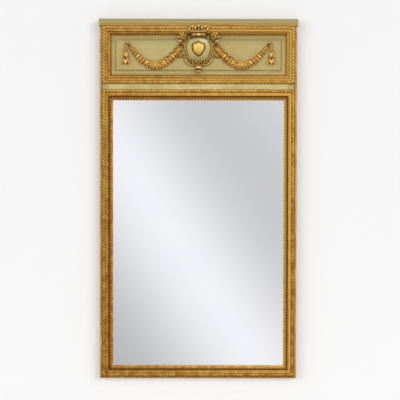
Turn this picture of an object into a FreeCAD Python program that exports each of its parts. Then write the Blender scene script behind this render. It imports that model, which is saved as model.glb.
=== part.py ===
import FreeCAD, Part
import Sketcher
import math
import os
from types import SimpleNamespace

# Pier mirror in painted and gilded wood: a jointed carcass holds a fielded panel above and a mirror plate
# below. Carved mouldings frame both. The panel carries an applied carving: cartouche, swags and husk drops.
# Millimetres. X runs to the right, Y towards the wall, Z up. The origin is the middle of the frame's bottom
# edge, on its back face, so the front faces -Y. "Front" below is the distance out from the back face.

SIZES = (
    # Carcass: two stiles, three rails and the cap
    ("body_width", 884),
    ("body_height", 1614),
    ("carcass_depth", 28),
    ("stile_width", 42),
    ("edge_hollow", 9),
    ("top_rail_height", 31),
    ("middle_rail_height", 87),
    ("bottom_rail_height", 42),
    ("panel_opening_height", 196),
    ("cap_height", 31.5),
    ("cap_overhang", 3),
    ("cap_proud", 6),
    ("cap_fascia", 20),
    ("cap_neck_proud", 1.5),
    # Mortise and tenon joints and their pegs
    ("tenon_length", 34),
    ("tenon_thickness", 10),
    ("tenon_back", 9),
    ("tenon_shoulder", 6),
    ("rebate_shoulder", 2),
    ("joint_clearance", 0.1),
    ("peg_radius", 3),
    ("peg_clearance", 0.1),
    ("peg_short", 0.3),
    ("end_rail_pegs", 1),
    ("middle_rail_pegs", 2),
    # Rebates for the mirror plate and the back boards
    ("board_rebate_width", 12),
    ("board_rebate_depth", 8.5),
    ("glass_seat", 18),
    ("cut_overrun", 1),
    # Fielded panel and its groove
    ("groove_depth", 8),
    ("groove_back", 10),
    ("tongue_thickness", 8),
    ("tongue_clearance", 0.3),
    ("panel_play", 1.5),
    ("bevel_width", 30),
    ("bevel_rise", 5.5),
    ("field_step", 3),
    # Rope moulding, a half round on a flat base
    ("moulding_inset", 11),
    ("rope_width", 15),
    ("rope_base", 2.5),
    ("mitre_gap", 0.1),
    # Sight moulding: flat band, ridge, quirk and the slope that carries the leaf tips
    ("band_front", 5),
    ("ridge_front", 7.5),
    ("ridge_width", 4),
    ("ridge_slant", 0.6),
    ("quirk_front", 3.5),
    ("quirk_width", 2),
    ("quirk_slant", 1),
    ("mirror_flat_width", 16.5),
    ("mirror_leaf_width", 16.5),
    ("panel_flat_width", 13),
    ("panel_leaf_width", 13),
    ("leaf_crown_share", 0.30),
    ("leaf_waist_share", 0.72),
    ("leaf_lip", 1.2),
    ("sight_clearance", 0.3),
    # Mirror plate, glazing wedges and back boards
    ("glass_thickness", 4),
    ("glass_play", 2),
    ("wedge_leg", 4.5),
    ("wedge_length", 30),
    ("side_wedges", 4),
    ("end_wedges", 3),
    ("board_thickness", 7),
    ("board_play", 1),
    ("board_gap", 1.5),
    ("nail_width", 2.4),
    ("nail_head_width", 5.5),
    ("nail_head_height", 1.2),
    ("nail_length", 20),
    ("nail_edge", 5.5),
    ("nail_side", 40),
    ("nail_clearance", 0.1),
    # Strap hangers with a swinging ring
    ("hanger_drop", 200),
    ("strap_width", 16),
    ("strap_length", 44),
    ("strap_thickness", 1.5),
    ("ring_wire", 2),
    ("ring_clearance", 0.3),
    ("ring_half_width", 12),
    ("ring_corner", 4),
    ("ring_side", 8),
    ("hanger_screw_top", 13),
    ("hanger_screw_pitch", 23),
    ("hanger_screw_radius", 1.8),
    ("hanger_screw_length", 16),
    ("hanger_head_radius", 3.4),
    ("hanger_head_height", 1.4),
    ("hanger_screw_clearance", 0.1),
    # Applied carving: where it sits against the panel's field, and how pieces clear each other
    ("carving_clearance", 0.2),
    ("plate_half_width", 56),
    ("plate_top", 77),
    ("plate_bottom", 28),
    ("plate_rim_front", 9),
    ("plate_dome", 8),
    ("shield_width", 52),
    ("shield_height", 64.5),
    ("shield_rise", 27),
    ("shield_front", 8),
    ("border_width", 11),
    ("border_front", 13),
    ("border_volute", 9),
    ("tip_length", 20),
    ("tip_width", 10),
    ("tip_lean", 40),
    ("volute_offset", 25),
    ("volute_radius", 11),
    ("volute_front", 12),
    ("spool_radius", 6.5),
    ("top_scroll_rise", 90),
    ("bow_drop", 37),
    ("bow_offset", 22),
    ("bow_radius", 9.5),
    ("bow_front", 14),
    ("acorn_length", 38),
    ("acorn_radius", 15),
    ("coronet_rise", 106),
    ("coronet_height", 28),
    ("coronet_half_width", 40),
    ("coronet_front", 8),
    ("pearl_radius", 4.2),
    ("quiver_slope", 28),
    ("quiver_mouth", 79),
    ("spray_reach", 92),
    ("quiver_neck", 66),
    ("quiver_waist", 83),
    ("quiver_tail", 106),
    ("quiver_rise", 41),
    ("quiver_width", 22),
    ("quiver_front", 12.5),
    ("blossom_radius", 9),
    ("blossom_front", 8),
    # Swags, the knots that hold them and the husk drops
    ("swag_start", 6.8),
    ("swag_sag", 93),
    ("swag_rise", 45.5),
    ("swag_width", 32),
    ("swag_end_width", 9),
    ("swag_front", 17),
    ("swag_end_front", 6),
    ("swag_husks", 5),
    ("band_width", 9),
    ("drop_inset", 44),
    ("drop_length", 92),
    ("drop_radius", 16),
    ("drop_rise", 48),
    ("knot_reach", 14),
    ("knot_width", 6),
    ("knot_front", 6),
    ("knot_lift", 3.2),
)

doc = FreeCAD.newDocument("pier_mirror")
sheet = doc.addObject("Spreadsheet::Sheet", "sizes")


class Size:
    """A length that knows both its value and the sheet expression that gives it."""

    def __init__(self, value, text):
        self.value = float(value)
        self.text = text

    def __float__(self):
        return self.value

    def __neg__(self):
        return Size(-self.value, "(0 - %s)" % self.text)

    def __add__(self, other):
        other = as_size(other)
        return Size(self.value + other.value, "(%s + %s)" % (self.text, other.text))

    def __sub__(self, other):
        other = as_size(other)
        return Size(self.value - other.value, "(%s - %s)" % (self.text, other.text))

    def __mul__(self, other):
        other = as_size(other)
        return Size(self.value * other.value, "(%s * %s)" % (self.text, other.text))

    def __truediv__(self, other):
        other = as_size(other)
        return Size(self.value / other.value, "(%s / %s)" % (self.text, other.text))

    def __radd__(self, other):
        return as_size(other) + self

    def __rsub__(self, other):
        return as_size(other) - self

    def __rmul__(self, other):
        return as_size(other) * self


def as_size(number):
    return number if isinstance(number, Size) else Size(number, repr(number))


def read_sheet():
    """Fills the sheet with the driving sizes and returns them by name."""
    for row, (alias, number) in enumerate(SIZES, 1):
        sheet.set("A%d" % row, alias)
        sheet.set("B%d" % row, str(number))
        sheet.setAlias("B%d" % row, alias)
    doc.recompute()
    return SimpleNamespace(**{alias: Size(getattr(sheet, alias), "sizes." + alias) for alias, _ in SIZES})


s = read_sheet()
ZERO = as_size(0)
DIAGONAL = math.sqrt(0.5)
FRONT = FreeCAD.Vector(0, -1, 0)
PEG_SIDES = 8
RING_SIDES = 6

# Places that several pieces share
half_width = s.body_width / 2
inner_x = half_width - s.stile_width
carcass_height = s.body_height - s.cap_height
top_rail_low = carcass_height - s.top_rail_height
middle_rail_high = top_rail_low - s.panel_opening_height
middle_rail_low = middle_rail_high - s.middle_rail_height
board_front = s.board_rebate_depth
board_edge_x = inner_x + s.board_rebate_width
panel_middle = middle_rail_high + s.panel_opening_height / 2
tongue_front = s.groove_back + s.tongue_clearance + s.tongue_thickness
bevel_front = tongue_front + s.bevel_rise
field_front = bevel_front + s.field_step
mirror_sight_width = s.mirror_flat_width + s.mirror_leaf_width
panel_sight_width = s.panel_flat_width + s.panel_leaf_width
mirror_overhang = s.moulding_inset + s.rope_width + mirror_sight_width - s.stile_width
panel_overhang = s.moulding_inset + s.rope_width + panel_sight_width - s.stile_width
ridge_stand = s.carcass_depth + s.ridge_front

# The carving's back, and the run of the swags between the cartouche's border and the drops
carving_back = field_front + s.carving_clearance
drop_offset = inner_x - s.bevel_width - s.drop_inset
swag_inner = s.plate_half_width + s.carving_clearance + s.border_width + s.swag_start
swag_span = drop_offset - s.knot_reach - swag_inner


# Helpers for bodies, sketches and features

def new_body(label):
    body = doc.addObject("PartDesign::Body", label)
    body.Label = label
    return body


def plane_of(body, role):
    return [f for f in body.Origin.OriginFeatures if f.Role == role][0]


def new_sketch(body, name, role, offset=ZERO):
    """A sketch on one of the body's own origin planes, moved out along the plane's normal by offset."""
    sketch = body.newObject("Sketcher::SketchObject", name)
    sketch.AttachmentSupport = (plane_of(body, role), "")
    sketch.MapMode = "FlatFace"
    sketch.setExpression(".AttachmentOffset.Base.z", offset.text)
    return sketch


def pin_point(sketch, edge, end, x, y):
    """Holds one point of an edge at x, y from the sketch's origin."""
    for kind, size in (("DistanceX", x), ("DistanceY", y)):
        size = as_size(size)
        index = sketch.addConstraint(Sketcher.Constraint(kind, -1, 1, edge, end, size.value))
        sketch.setExpression("Constraints[%d]" % index, size.text)


def draw_outline(sketch, corners):
    """A closed outline. A corner is (x, y); (x, y, mid_x, mid_y) starts an arc through the middle point."""
    places = [tuple(float(c) for c in corner) for corner in corners]
    edges = []
    for here, there in zip(places, places[1:] + places[:1]):
        start = FreeCAD.Vector(here[0], here[1], 0)
        end = FreeCAD.Vector(there[0], there[1], 0)
        if len(here) == 4:
            edges.append(sketch.addGeometry(Part.Arc(start, FreeCAD.Vector(here[2], here[3], 0), end)))
        else:
            edges.append(sketch.addGeometry(Part.LineSegment(start, end)))
    ends = []
    for edge, here, there in zip(edges, places, places[1:] + places[:1]):
        turned = len(here) == 4 and arc_is_turned(sketch, edge)
        ends.append((2, 1) if turned else (1, 2))
    for i, edge in enumerate(edges):
        after = (i + 1) % len(edges)
        join = Sketcher.Constraint("Coincident", edge, ends[i][1], edges[after], ends[after][0])
        sketch.addConstraint(join)
    for i, corner in enumerate(corners):
        pin_point(sketch, edges[i], ends[i][0], corner[0], corner[1])
        if len(corner) == 4:
            middle = sketch.addGeometry(Part.Point(FreeCAD.Vector(places[i][2], places[i][3], 0)), True)
            pin_point(sketch, middle, 1, corner[2], corner[3])
            sketch.addConstraint(Sketcher.Constraint("PointOnObject", middle, 1, edges[i]))


def arc_is_turned(sketch, edge):
    """Constraints count an arc's ends anticlockwise, so on a clockwise arc they are the other way round."""
    return sketch.Geometry[edge].Axis.z < 0


def draw_rectangle(sketch, x0, x1, y0, y1):
    draw_outline(sketch, [(x0, y0), (x1, y0), (x1, y1), (x0, y1)])


def polygon(x, y, radius, sides):
    """Corners about x, y, the first on the right."""
    turns = [math.tau * i / sides for i in range(sides)]
    return [(x + radius * math.cos(turn), y + radius * math.sin(turn)) for turn in turns]


def draw_circle(sketch, x, y, radius):
    edge = sketch.addGeometry(Part.Circle(at_sketch(x, y), FreeCAD.Vector(0, 0, 1), float(radius)))
    pin_point(sketch, edge, 3, x, y)
    index = sketch.addConstraint(Sketcher.Constraint("Radius", edge, float(radius)))
    sketch.setExpression("Constraints[%d]" % index, radius.text)


def at_sketch(x, y):
    return FreeCAD.Vector(float(x), float(y), 0)


def pad(body, sketch, length, both_ways=False):
    feature = body.newObject("PartDesign::Pad", sketch.Name + "_pad")
    feature.Profile = sketch
    feature.Midplane = both_ways
    feature.setExpression("Length", length.text)
    body.Tip = feature
    return feature


def pocket(body, sketch, length=None):
    """Cuts towards the front by length, or right through both ways."""
    feature = body.newObject("PartDesign::Pocket", sketch.Name + "_cut")
    feature.Profile = sketch
    if length is None:
        feature.Type = "ThroughAll"
        feature.Midplane = True
    else:
        feature.Reversed = True
        feature.setExpression("Length", length.text)
    body.Tip = feature
    return feature


def add_block(body, name, x0, x1, z0, z1, back, front):
    sketch = new_sketch(body, name, "XZ_Plane", as_size(back))
    draw_rectangle(sketch, x0, x1, z0, z1)
    return pad(body, sketch, front - back)


def cut_block(body, name, x0, x1, z0, z1, back, front):
    sketch = new_sketch(body, name, "XZ_Plane", as_size(back))
    draw_rectangle(sketch, x0, x1, z0, z1)
    return pocket(body, sketch, front - back)


def cut_peg_holes(body, name, centres):
    """Holes with the eight sides that the pegs press into the wood."""
    sketch = new_sketch(body, name, "XZ_Plane")
    for x, z in centres:
        draw_outline(sketch, polygon(x, z, s.peg_radius + s.peg_clearance, PEG_SIDES))
    return pocket(body, sketch)


def put_at(feature, x=ZERO, y=ZERO, z=ZERO, axis=None, angle=0):
    """Gives a piece its place; its turn is about one of the frame's axes."""
    if axis is not None:
        feature.Placement = FreeCAD.Placement(FreeCAD.Vector(0, 0, 0), FreeCAD.Rotation(axis, angle))
    for letter, size in (("x", x), ("y", y), ("z", z)):
        feature.setExpression(".Placement.Base." + letter, as_size(size).text)


def set_piece(label, shape, x=0, front=0, z=0):
    """A piece whose shape is worked out here, placed by how far its back stands in front of the frame's."""
    piece = doc.addObject("Part::Feature", label)
    piece.Label = label
    piece.Shape = shape
    place = FreeCAD.Vector(float(x), -float(front), float(z))
    piece.Placement = FreeCAD.Placement(place, FreeCAD.Rotation())
    return piece


# Faceted solids, for turned and carved work

LEAST_TWIST = 1e-9


def fluted_ring(radius, height, sides, notch):
    """Corners about Z, every other one drawn in by the share notch."""
    points = []
    for i in range(sides):
        reach = radius * (1 - notch * (i % 2))
        angle = math.tau * i / sides
        points.append(FreeCAD.Vector(reach * math.cos(angle), reach * math.sin(angle), height))
    return points


def flat_facets(corners):
    """One flat face through four corners, or two triangles where they twist."""
    a, b, c, d = corners
    lean = (b - a).cross(c - a)
    loops = [(a, b, c, d)]
    if abs(lean.normalize().dot(d - a)) > LEAST_TWIST:
        loops = [(a, b, c), (a, c, d)]
    return [Part.Face(Part.makePolygon(loop + loop[:1])) for loop in loops]


def faceted_solid(rings):
    """A closed solid skinned over rings that have the same number of corners."""
    faces = []
    for low, high in zip(rings, rings[1:]):
        for i in range(len(low)):
            after = (i + 1) % len(low)
            faces += flat_facets((low[i], low[after], high[after], high[i]))
    for ring in (rings[0], rings[-1]):
        faces.append(Part.Face(Part.makePolygon(ring + ring[:1])))
    shell = Part.Shell(faces)
    shell.sewShape()
    solid = Part.Solid(shell)
    if solid.Volume < 0:
        solid.reverse()
    return solid


# Carcass: stiles, rails, tenons and pegs

# Each joint: the rail's name, the tenon's lower and upper edge, and how many pegs hold it
tenon_inset = s.groove_depth + s.tenon_shoulder
JOINTS = (
    ("bottom", s.tenon_shoulder, s.bottom_rail_height - s.tenon_shoulder, s.end_rail_pegs),
    ("middle", middle_rail_low + s.tenon_shoulder, middle_rail_high - tenon_inset, s.middle_rail_pegs),
    ("top", top_rail_low + s.groove_depth + s.rebate_shoulder, carcass_height - s.tenon_shoulder,
     s.end_rail_pegs),
)


def peg_heights(low, high, count):
    """Pegs evenly spaced over a tenon's height."""
    return [low + (high - low) * (i + 1) / (count + 1) for i in range(int(count.value))]


def peg_centres(joint, side):
    _, low, high, count = joint
    x = side * (inner_x + s.tenon_length / 2)
    return [(x, z) for z in peg_heights(low, high, count)]


def cut_side_hollow(body, side):
    """A quarter-round hollow down the stile's outer front edge, drawn past both of its faces."""
    reach = s.edge_hollow
    front = -s.carcass_depth
    edge = side * half_width
    past = side * (half_width + s.cut_overrun)
    sketch = new_sketch(body, body.Label + "_side_hollow", "XY_Plane")
    draw_outline(sketch, [
        (edge - side * reach, front, edge - side * reach * DIAGONAL, front + reach * DIAGONAL),
        (edge, front + reach),
        (past, front + reach),
        (past, front - s.cut_overrun),
        (edge - side * reach, front - s.cut_overrun),
    ])
    pocket(body, sketch)


def cut_bottom_hollow(body):
    """The same hollow along the lower front edge; the two meet in a mitre."""
    reach = s.edge_hollow
    front = -s.carcass_depth
    sketch = new_sketch(body, body.Label + "_bottom_hollow", "YZ_Plane")
    draw_outline(sketch, [
        (front, reach, front + reach * DIAGONAL, reach * DIAGONAL),
        (front + reach, ZERO),
        (front + reach, -s.cut_overrun),
        (front - s.cut_overrun, -s.cut_overrun),
        (front - s.cut_overrun, reach),
    ])
    pocket(body, sketch)


def make_stile(label, side):
    """An upright with mortises for the rails, a groove for the panel and a stopped rebate for the boards."""
    body = new_body(label)
    inner = side * inner_x
    past = side * (inner_x - s.cut_overrun)
    add_block(body, label + "_blank", inner, side * half_width, ZERO, carcass_height, ZERO, s.carcass_depth)
    bottom = s.bottom_rail_height
    cut_block(body, label + "_board_rebate", past, side * board_edge_x, bottom - s.board_rebate_width,
              middle_rail_low + s.board_rebate_width, -s.cut_overrun, board_front)
    cut_block(body, label + "_groove", past, side * (inner_x + s.groove_depth),
              middle_rail_high - s.groove_depth, top_rail_low + s.groove_depth,
              s.groove_back, tongue_front + s.tongue_clearance)
    gap = s.joint_clearance
    for joint in JOINTS:
        name, low, high, _ = joint
        cut_block(body, "%s_%s_mortise" % (label, name), past, side * (inner_x + s.tenon_length + gap),
                  low - gap, high + gap, s.tenon_back - gap, s.tenon_back + s.tenon_thickness + gap)
        cut_peg_holes(body, "%s_%s_peg_hole" % (label, name), peg_centres(joint, side))
    cut_side_hollow(body, side)
    cut_bottom_hollow(body)
    return body


def make_rail(label, joint, low, high):
    """A crosspiece with a tenon on each end, both pierced for their pegs."""
    body = new_body(label)
    add_block(body, label + "_blank", -inner_x, inner_x, low, high, ZERO, s.carcass_depth)
    _, tenon_low, tenon_high, _ = joint
    for side, word in ((-1, "left"), (1, "right")):
        add_block(body, "%s_%s_tenon" % (label, word), side * (inner_x - s.cut_overrun),
                  side * (inner_x + s.tenon_length), tenon_low, tenon_high,
                  s.tenon_back, s.tenon_back + s.tenon_thickness)
    cut_peg_holes(body, label + "_peg_holes", peg_centres(joint, -1) + peg_centres(joint, 1))
    return body


def cut_rail_rebate(body, low, high):
    """The step that takes the ends of the back boards."""
    cut_block(body, body.Label + "_board_rebate", -inner_x, inner_x, low, high, -s.cut_overrun, board_front)


def cut_rail_groove(body, low, high):
    """The groove that takes the panel's tongue."""
    cut_block(body, body.Label + "_groove", -inner_x, inner_x, low, high,
              s.groove_back, tongue_front + s.tongue_clearance)


def make_carcass():
    bottom = make_rail("rail_bottom", JOINTS[0], ZERO, s.bottom_rail_height)
    sill = s.bottom_rail_height
    cut_rail_rebate(bottom, sill - s.board_rebate_width, sill + s.cut_overrun)
    cut_bottom_hollow(bottom)
    middle = make_rail("rail_middle", JOINTS[1], middle_rail_low, middle_rail_high)
    cut_rail_rebate(middle, middle_rail_low - s.cut_overrun, middle_rail_low + s.board_rebate_width)
    cut_rail_groove(middle, middle_rail_high - s.groove_depth, middle_rail_high + s.cut_overrun)
    top = make_rail("rail_top", JOINTS[2], top_rail_low, carcass_height)
    cut_rail_groove(top, top_rail_low - s.cut_overrun, top_rail_low + s.groove_depth)
    return [make_stile("stile_left", -1), make_stile("stile_right", 1), bottom, middle, top]


def make_pegs():
    """Eight-sided draw pegs, driven from the back through stile and tenon."""
    pegs = []
    for joint in JOINTS:
        for side in (-1, 1):
            for x, z in peg_centres(joint, side):
                peg = doc.addObject("Part::Prism", "peg")
                peg.Polygon = PEG_SIDES
                peg.setExpression("Circumradius", s.peg_radius.text)
                peg.setExpression("Height", (s.carcass_depth - s.peg_short).text)
                put_at(peg, x, ZERO, z, FreeCAD.Vector(1, 0, 0), 90)
                pegs.append(peg)
    group = doc.addObject("Part::Compound", "joint_pegs")
    group.Links = pegs
    return group


def make_cap():
    """The cornice board: a flat fascia over a hollow that draws back to the frame."""
    body = new_body("top_cap")
    sketch = new_sketch(body, "cap_profile", "YZ_Plane")
    front = -(s.carcass_depth + s.cap_proud)
    neck = -(s.carcass_depth + s.cap_neck_proud)
    fascia_low = s.body_height - s.cap_fascia
    hollow_x = front + (neck - front) * DIAGONAL
    hollow_z = fascia_low - (fascia_low - carcass_height) * (1 - DIAGONAL)
    draw_outline(sketch, [
        (ZERO, carcass_height),
        (ZERO, s.body_height),
        (front, s.body_height),
        (front, fascia_low, hollow_x, hollow_z),
        (neck, carcass_height),
    ])
    pad(body, sketch, s.body_width + s.cap_overhang * 2, True)
    return body


# Fielded panel

def make_panel():
    """A tongue all round, a bevel, and a raised field with a small square step."""
    body = new_body("fielded_panel")
    reach = s.groove_depth - s.panel_play
    middle = s.panel_opening_height / 2
    half = inner_x
    back = s.groove_back + s.tongue_clearance
    add_block(body, "tongue", -(half + reach), half + reach, panel_middle - middle - reach,
              panel_middle + middle + reach, back, tongue_front)
    play = s.panel_play
    foot = new_sketch(body, "bevel_foot", "XZ_Plane", tongue_front)
    foot_half = half - play
    foot_tall = middle - play
    draw_rectangle(foot, -foot_half, foot_half, panel_middle - foot_tall, panel_middle + foot_tall)
    head = new_sketch(body, "bevel_head", "XZ_Plane", bevel_front)
    field_half = half - s.bevel_width
    field_tall = middle - s.bevel_width
    draw_rectangle(head, -field_half, field_half, panel_middle - field_tall, panel_middle + field_tall)
    bevel = body.newObject("PartDesign::AdditiveLoft", "bevel")
    bevel.Profile = foot
    bevel.Sections = [head]
    bevel.Ruled = True
    body.Tip = bevel
    add_block(body, "field", -field_half, field_half, panel_middle - field_tall, panel_middle + field_tall,
              bevel_front, field_front)
    return body


# Mouldings: each side of each frame is its own mitred length

def rope_profile():
    """A half round on a flat base. The sketch runs -front, inward."""
    base = -s.rope_base
    return [
        (ZERO, ZERO),
        (base, ZERO, base - s.rope_width / 2, s.rope_width / 2),
        (base, s.rope_width),
        (ZERO, s.rope_width),
    ]


def sight_profile(flat, leaf, overhang, seat):
    """Flat band, ridge and quirk, then two curves down to the sight edge, hooked over the wood behind."""
    ridge_end = flat - s.quirk_width
    ridge_start = ridge_end - s.ridge_width
    leaf_start = flat
    width = flat + leaf
    drop = s.carcass_depth - seat - s.sight_clearance
    hook = width - overhang + s.sight_clearance
    lip = drop - s.leaf_lip
    crown_y = leaf_start + leaf * s.leaf_crown_share
    waist_y = leaf_start + leaf * s.leaf_waist_share
    half_y = leaf_start + leaf / 2
    half_front = (s.ridge_front - lip) / 2
    crown_front = (s.ridge_front + half_front) / 2 + s.leaf_lip
    waist_front = (half_front - lip) / 2 - s.leaf_lip
    return [
        (ZERO, ZERO),
        (-s.band_front, ZERO),
        (-s.band_front, ridge_start),
        (-s.ridge_front, ridge_start + s.ridge_slant),
        (-s.ridge_front, ridge_end - s.ridge_slant),
        (-s.quirk_front, ridge_end),
        (-s.quirk_front, leaf_start),
        (-s.ridge_front, leaf_start + s.quirk_slant, -crown_front, crown_y),
        (-half_front, half_y, -waist_front, waist_y),
        (lip, width),
        (drop, width),
        (drop, hook),
        (ZERO, hook),
    ]


def make_moulding(label, profile, width, length, x, z, turn):
    """A mitred length along X with its outer edge on the local X axis, turned into its side of the frame."""
    body = new_body(label)
    sketch = new_sketch(body, label + "_profile", "YZ_Plane")
    draw_outline(sketch, profile)
    run = length - s.mitre_gap
    pad(body, sketch, run, True)
    for side, word in ((-1, "left"), (1, "right")):
        mitre = new_sketch(body, "%s_%s_mitre" % (label, word), "XZ_Plane")
        reach = width + s.cut_overrun
        end = run / 2
        draw_outline(mitre, [
            (side * end, ZERO),
            (side * (end + s.cut_overrun), ZERO),
            (side * (end + s.cut_overrun), reach),
            (side * (end - reach), reach),
        ])
        pocket(body, mitre)
    put_at(body, x, -s.carcass_depth, z, FreeCAD.Vector(0, 1, 0), turn)
    return body


def frame_mouldings(prefix, word, profile, width, outer_x, low, high):
    """Four mitred lengths round a rectangle given by its outer edges."""
    middle = (low + high) / 2
    wide = outer_x * 2
    tall = high - low
    return [
        make_moulding("%s_%s_bottom" % (prefix, word), profile, width, wide, ZERO, low, 0),
        make_moulding("%s_%s_top" % (prefix, word), profile, width, wide, ZERO, high, 180),
        make_moulding("%s_%s_left" % (prefix, word), profile, width, tall, -outer_x, middle, 90),
        make_moulding("%s_%s_right" % (prefix, word), profile, width, tall, outer_x, middle, -90),
    ]


def make_mouldings():
    pieces = []
    outer_x = half_width - s.moulding_inset
    mirror_high = middle_rail_low - mirror_overhang + s.rope_width + mirror_sight_width
    panel_low = middle_rail_high + panel_overhang - s.rope_width - panel_sight_width
    rope = rope_profile()
    pieces += frame_mouldings("mirror", "rope", rope, s.rope_width, outer_x, s.moulding_inset, mirror_high)
    pieces += frame_mouldings("panel", "rope", rope, s.rope_width, outer_x, panel_low, carcass_height)
    inner = s.rope_width
    mirror_profile = sight_profile(s.mirror_flat_width, s.mirror_leaf_width, mirror_overhang, s.glass_seat)
    pieces += frame_mouldings("mirror", "sight", mirror_profile, mirror_sight_width,
                              outer_x - inner, s.moulding_inset + inner, mirror_high - inner)
    bevel_share = (panel_overhang - s.panel_play) / (s.bevel_width - s.panel_play)
    panel_profile = sight_profile(s.panel_flat_width, s.panel_leaf_width, panel_overhang,
                                  tongue_front + s.bevel_rise * bevel_share)
    pieces += frame_mouldings("panel", "sight", panel_profile, panel_sight_width,
                              outer_x - inner, panel_low + inner, carcass_height - inner)
    return pieces


# Mirror plate, wedges and back boards. The sight moulding overhangs the carcass, with the plate behind it.

def make_glass():
    body = new_body("mirror_glass")
    half = inner_x - s.glass_play
    low = s.bottom_rail_height + s.glass_play
    high = middle_rail_low - s.glass_play
    add_block(body, "plate", -half, half, low, high, s.glass_seat - s.glass_thickness, s.glass_seat)
    return body


def make_wedge(x, z, turn):
    """A glue block of triangular section in the corner between plate and rebate."""
    body = doc.addObject("Part::Wedge", "wedge")
    for name, size in (("Xmin", ZERO), ("Xmax", s.wedge_length), ("Ymin", ZERO), ("Ymax", s.wedge_leg),
                       ("Zmin", ZERO), ("Zmax", s.wedge_leg), ("X2min", ZERO), ("X2max", s.wedge_length),
                       ("Z2min", ZERO), ("Z2max", ZERO)):
        body.setExpression(name, size.text)
    put_at(body, x, -(s.glass_seat - s.glass_thickness), z, FreeCAD.Vector(0, 1, 0), turn)
    return body


def make_wedges():
    wedges = []
    low = s.bottom_rail_height
    high = middle_rail_low
    sides = int(s.side_wedges.value)
    ends = int(s.end_wedges.value)
    for i in range(sides):
        z = low + (high - low) * (i + 0.5) / sides
        wedges.append(make_wedge(-inner_x, z + s.wedge_length / 2, 90))
        wedges.append(make_wedge(inner_x, z - s.wedge_length / 2, -90))
    for i in range(ends):
        x = -inner_x + inner_x * 2 * (i + 0.5) / ends
        wedges.append(make_wedge(x - s.wedge_length / 2, low, 0))
        wedges.append(make_wedge(x + s.wedge_length / 2, high, 180))
    group = doc.addObject("Part::Compound", "glass_wedges")
    group.Links = wedges
    return group


BOARDS = 4
boards_half = board_edge_x - s.board_play
board_width = (boards_half * 2 - s.board_gap * (BOARDS - 1)) / BOARDS
board_low = s.bottom_rail_height - s.board_rebate_width + s.board_play
board_high = middle_rail_low + s.board_rebate_width - s.board_play
board_back = board_front - s.board_thickness


def board_start(i):
    return -boards_half + (board_width + s.board_gap) * i


def nail_centres(i):
    """Two nails at each end of a board."""
    start = board_start(i)
    across = (start + s.nail_side, start + board_width - s.nail_side)
    up = (board_low + s.nail_edge, board_high - s.nail_edge)
    return [(x, z) for x in across for z in up]


def make_boards():
    """Four thin planks that close the back behind the mirror plate."""
    boards = []
    for i in range(BOARDS):
        label = "back_board_%d" % (i + 1)
        body = new_body(label)
        start = board_start(i)
        add_block(body, label + "_blank", start, start + board_width, board_low, board_high,
                  board_back, board_front)
        cut_nail_holes(body, nail_centres(i))
        boards.append(body)
    return boards


def cut_nail_holes(body, centres):
    """Square holes as deep as the nails reach, from the back of the boards."""
    sketch = new_sketch(body, body.Label + "_nail_holes", "XZ_Plane", board_back)
    half = s.nail_width / 2 + s.nail_clearance
    for x, z in centres:
        draw_rectangle(sketch, x - half, x + half, z - half, z + half)
    pocket(body, sketch, s.nail_length + s.nail_clearance)


def cut_rail_nail_holes(bottom, middle):
    centres = [centre for i in range(BOARDS) for centre in nail_centres(i)]
    halfway = middle_rail_low.value / 2
    cut_nail_holes(bottom, [centre for centre in centres if centre[1].value < halfway])
    cut_nail_holes(middle, [centre for centre in centres if centre[1].value > halfway])


def make_nails():
    """Cut nails: a square shank under a low pyramid head."""
    nails = []
    for i in range(BOARDS):
        for x, z in nail_centres(i):
            shank = doc.addObject("Part::Box", "nail_shank")
            shank.setExpression("Length", s.nail_width.text)
            shank.setExpression("Width", s.nail_length.text)
            shank.setExpression("Height", s.nail_width.text)
            put_at(shank, x - s.nail_width / 2, -(board_back + s.nail_length), z - s.nail_width / 2)
            head = doc.addObject("Part::Wedge", "nail_head")
            wide = s.nail_head_width / 2
            narrow = s.nail_width / 2
            for name, size in (("Xmin", -wide), ("Xmax", wide), ("Zmin", -wide), ("Zmax", wide),
                               ("X2min", -narrow), ("X2max", narrow), ("Z2min", -narrow), ("Z2max", narrow),
                               ("Ymin", ZERO), ("Ymax", s.nail_head_height)):
                head.setExpression(name, size.text)
            put_at(head, x, -board_back, z)
            nail = doc.addObject("Part::MultiFuse", "nail")
            nail.Shapes = [shank, head]
            nails.append(nail)
    group = doc.addObject("Part::Compound", "board_nails")
    group.Links = nails
    return group


# Strap hangers on the backs of the stiles

hanger_x = (half_width + board_edge_x) / 2
hanger_z = s.body_height - s.hanger_drop
eye_bore = s.ring_wire + s.ring_clearance
eye_radius = eye_bore + s.strap_thickness


def hanger_screw_centres(side):
    """Screw centres of one strap, in the frame's own X and Z."""
    first = hanger_z - s.hanger_screw_top
    return [(side * hanger_x, first), (side * hanger_x, first - s.hanger_screw_pitch)]


def make_strap(label, side):
    """A steel strap whose top end is rolled into an eye. Its own origin is the eye's centre."""
    body = new_body(label)
    plate = new_sketch(body, label + "_plate", "YZ_Plane")
    draw_rectangle(plate, -eye_radius, -eye_radius + s.strap_thickness, -s.strap_length, ZERO)
    pad(body, plate, s.strap_width, True)
    eye = new_sketch(body, label + "_eye", "YZ_Plane")
    draw_circle(eye, ZERO, ZERO, eye_radius)
    pad(body, eye, s.strap_width, True)
    bore = new_sketch(body, label + "_bore", "YZ_Plane")
    draw_circle(bore, ZERO, ZERO, eye_bore)
    pocket(body, bore)
    holes = new_sketch(body, label + "_holes", "XZ_Plane")
    for z in (-s.hanger_screw_top, -(s.hanger_screw_top + s.hanger_screw_pitch)):
        draw_outline(holes, polygon(ZERO, z, s.hanger_screw_radius + s.hanger_screw_clearance, PEG_SIDES))
    pocket(body, holes)
    put_at(body, side * hanger_x, eye_radius, hanger_z)
    return body


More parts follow.
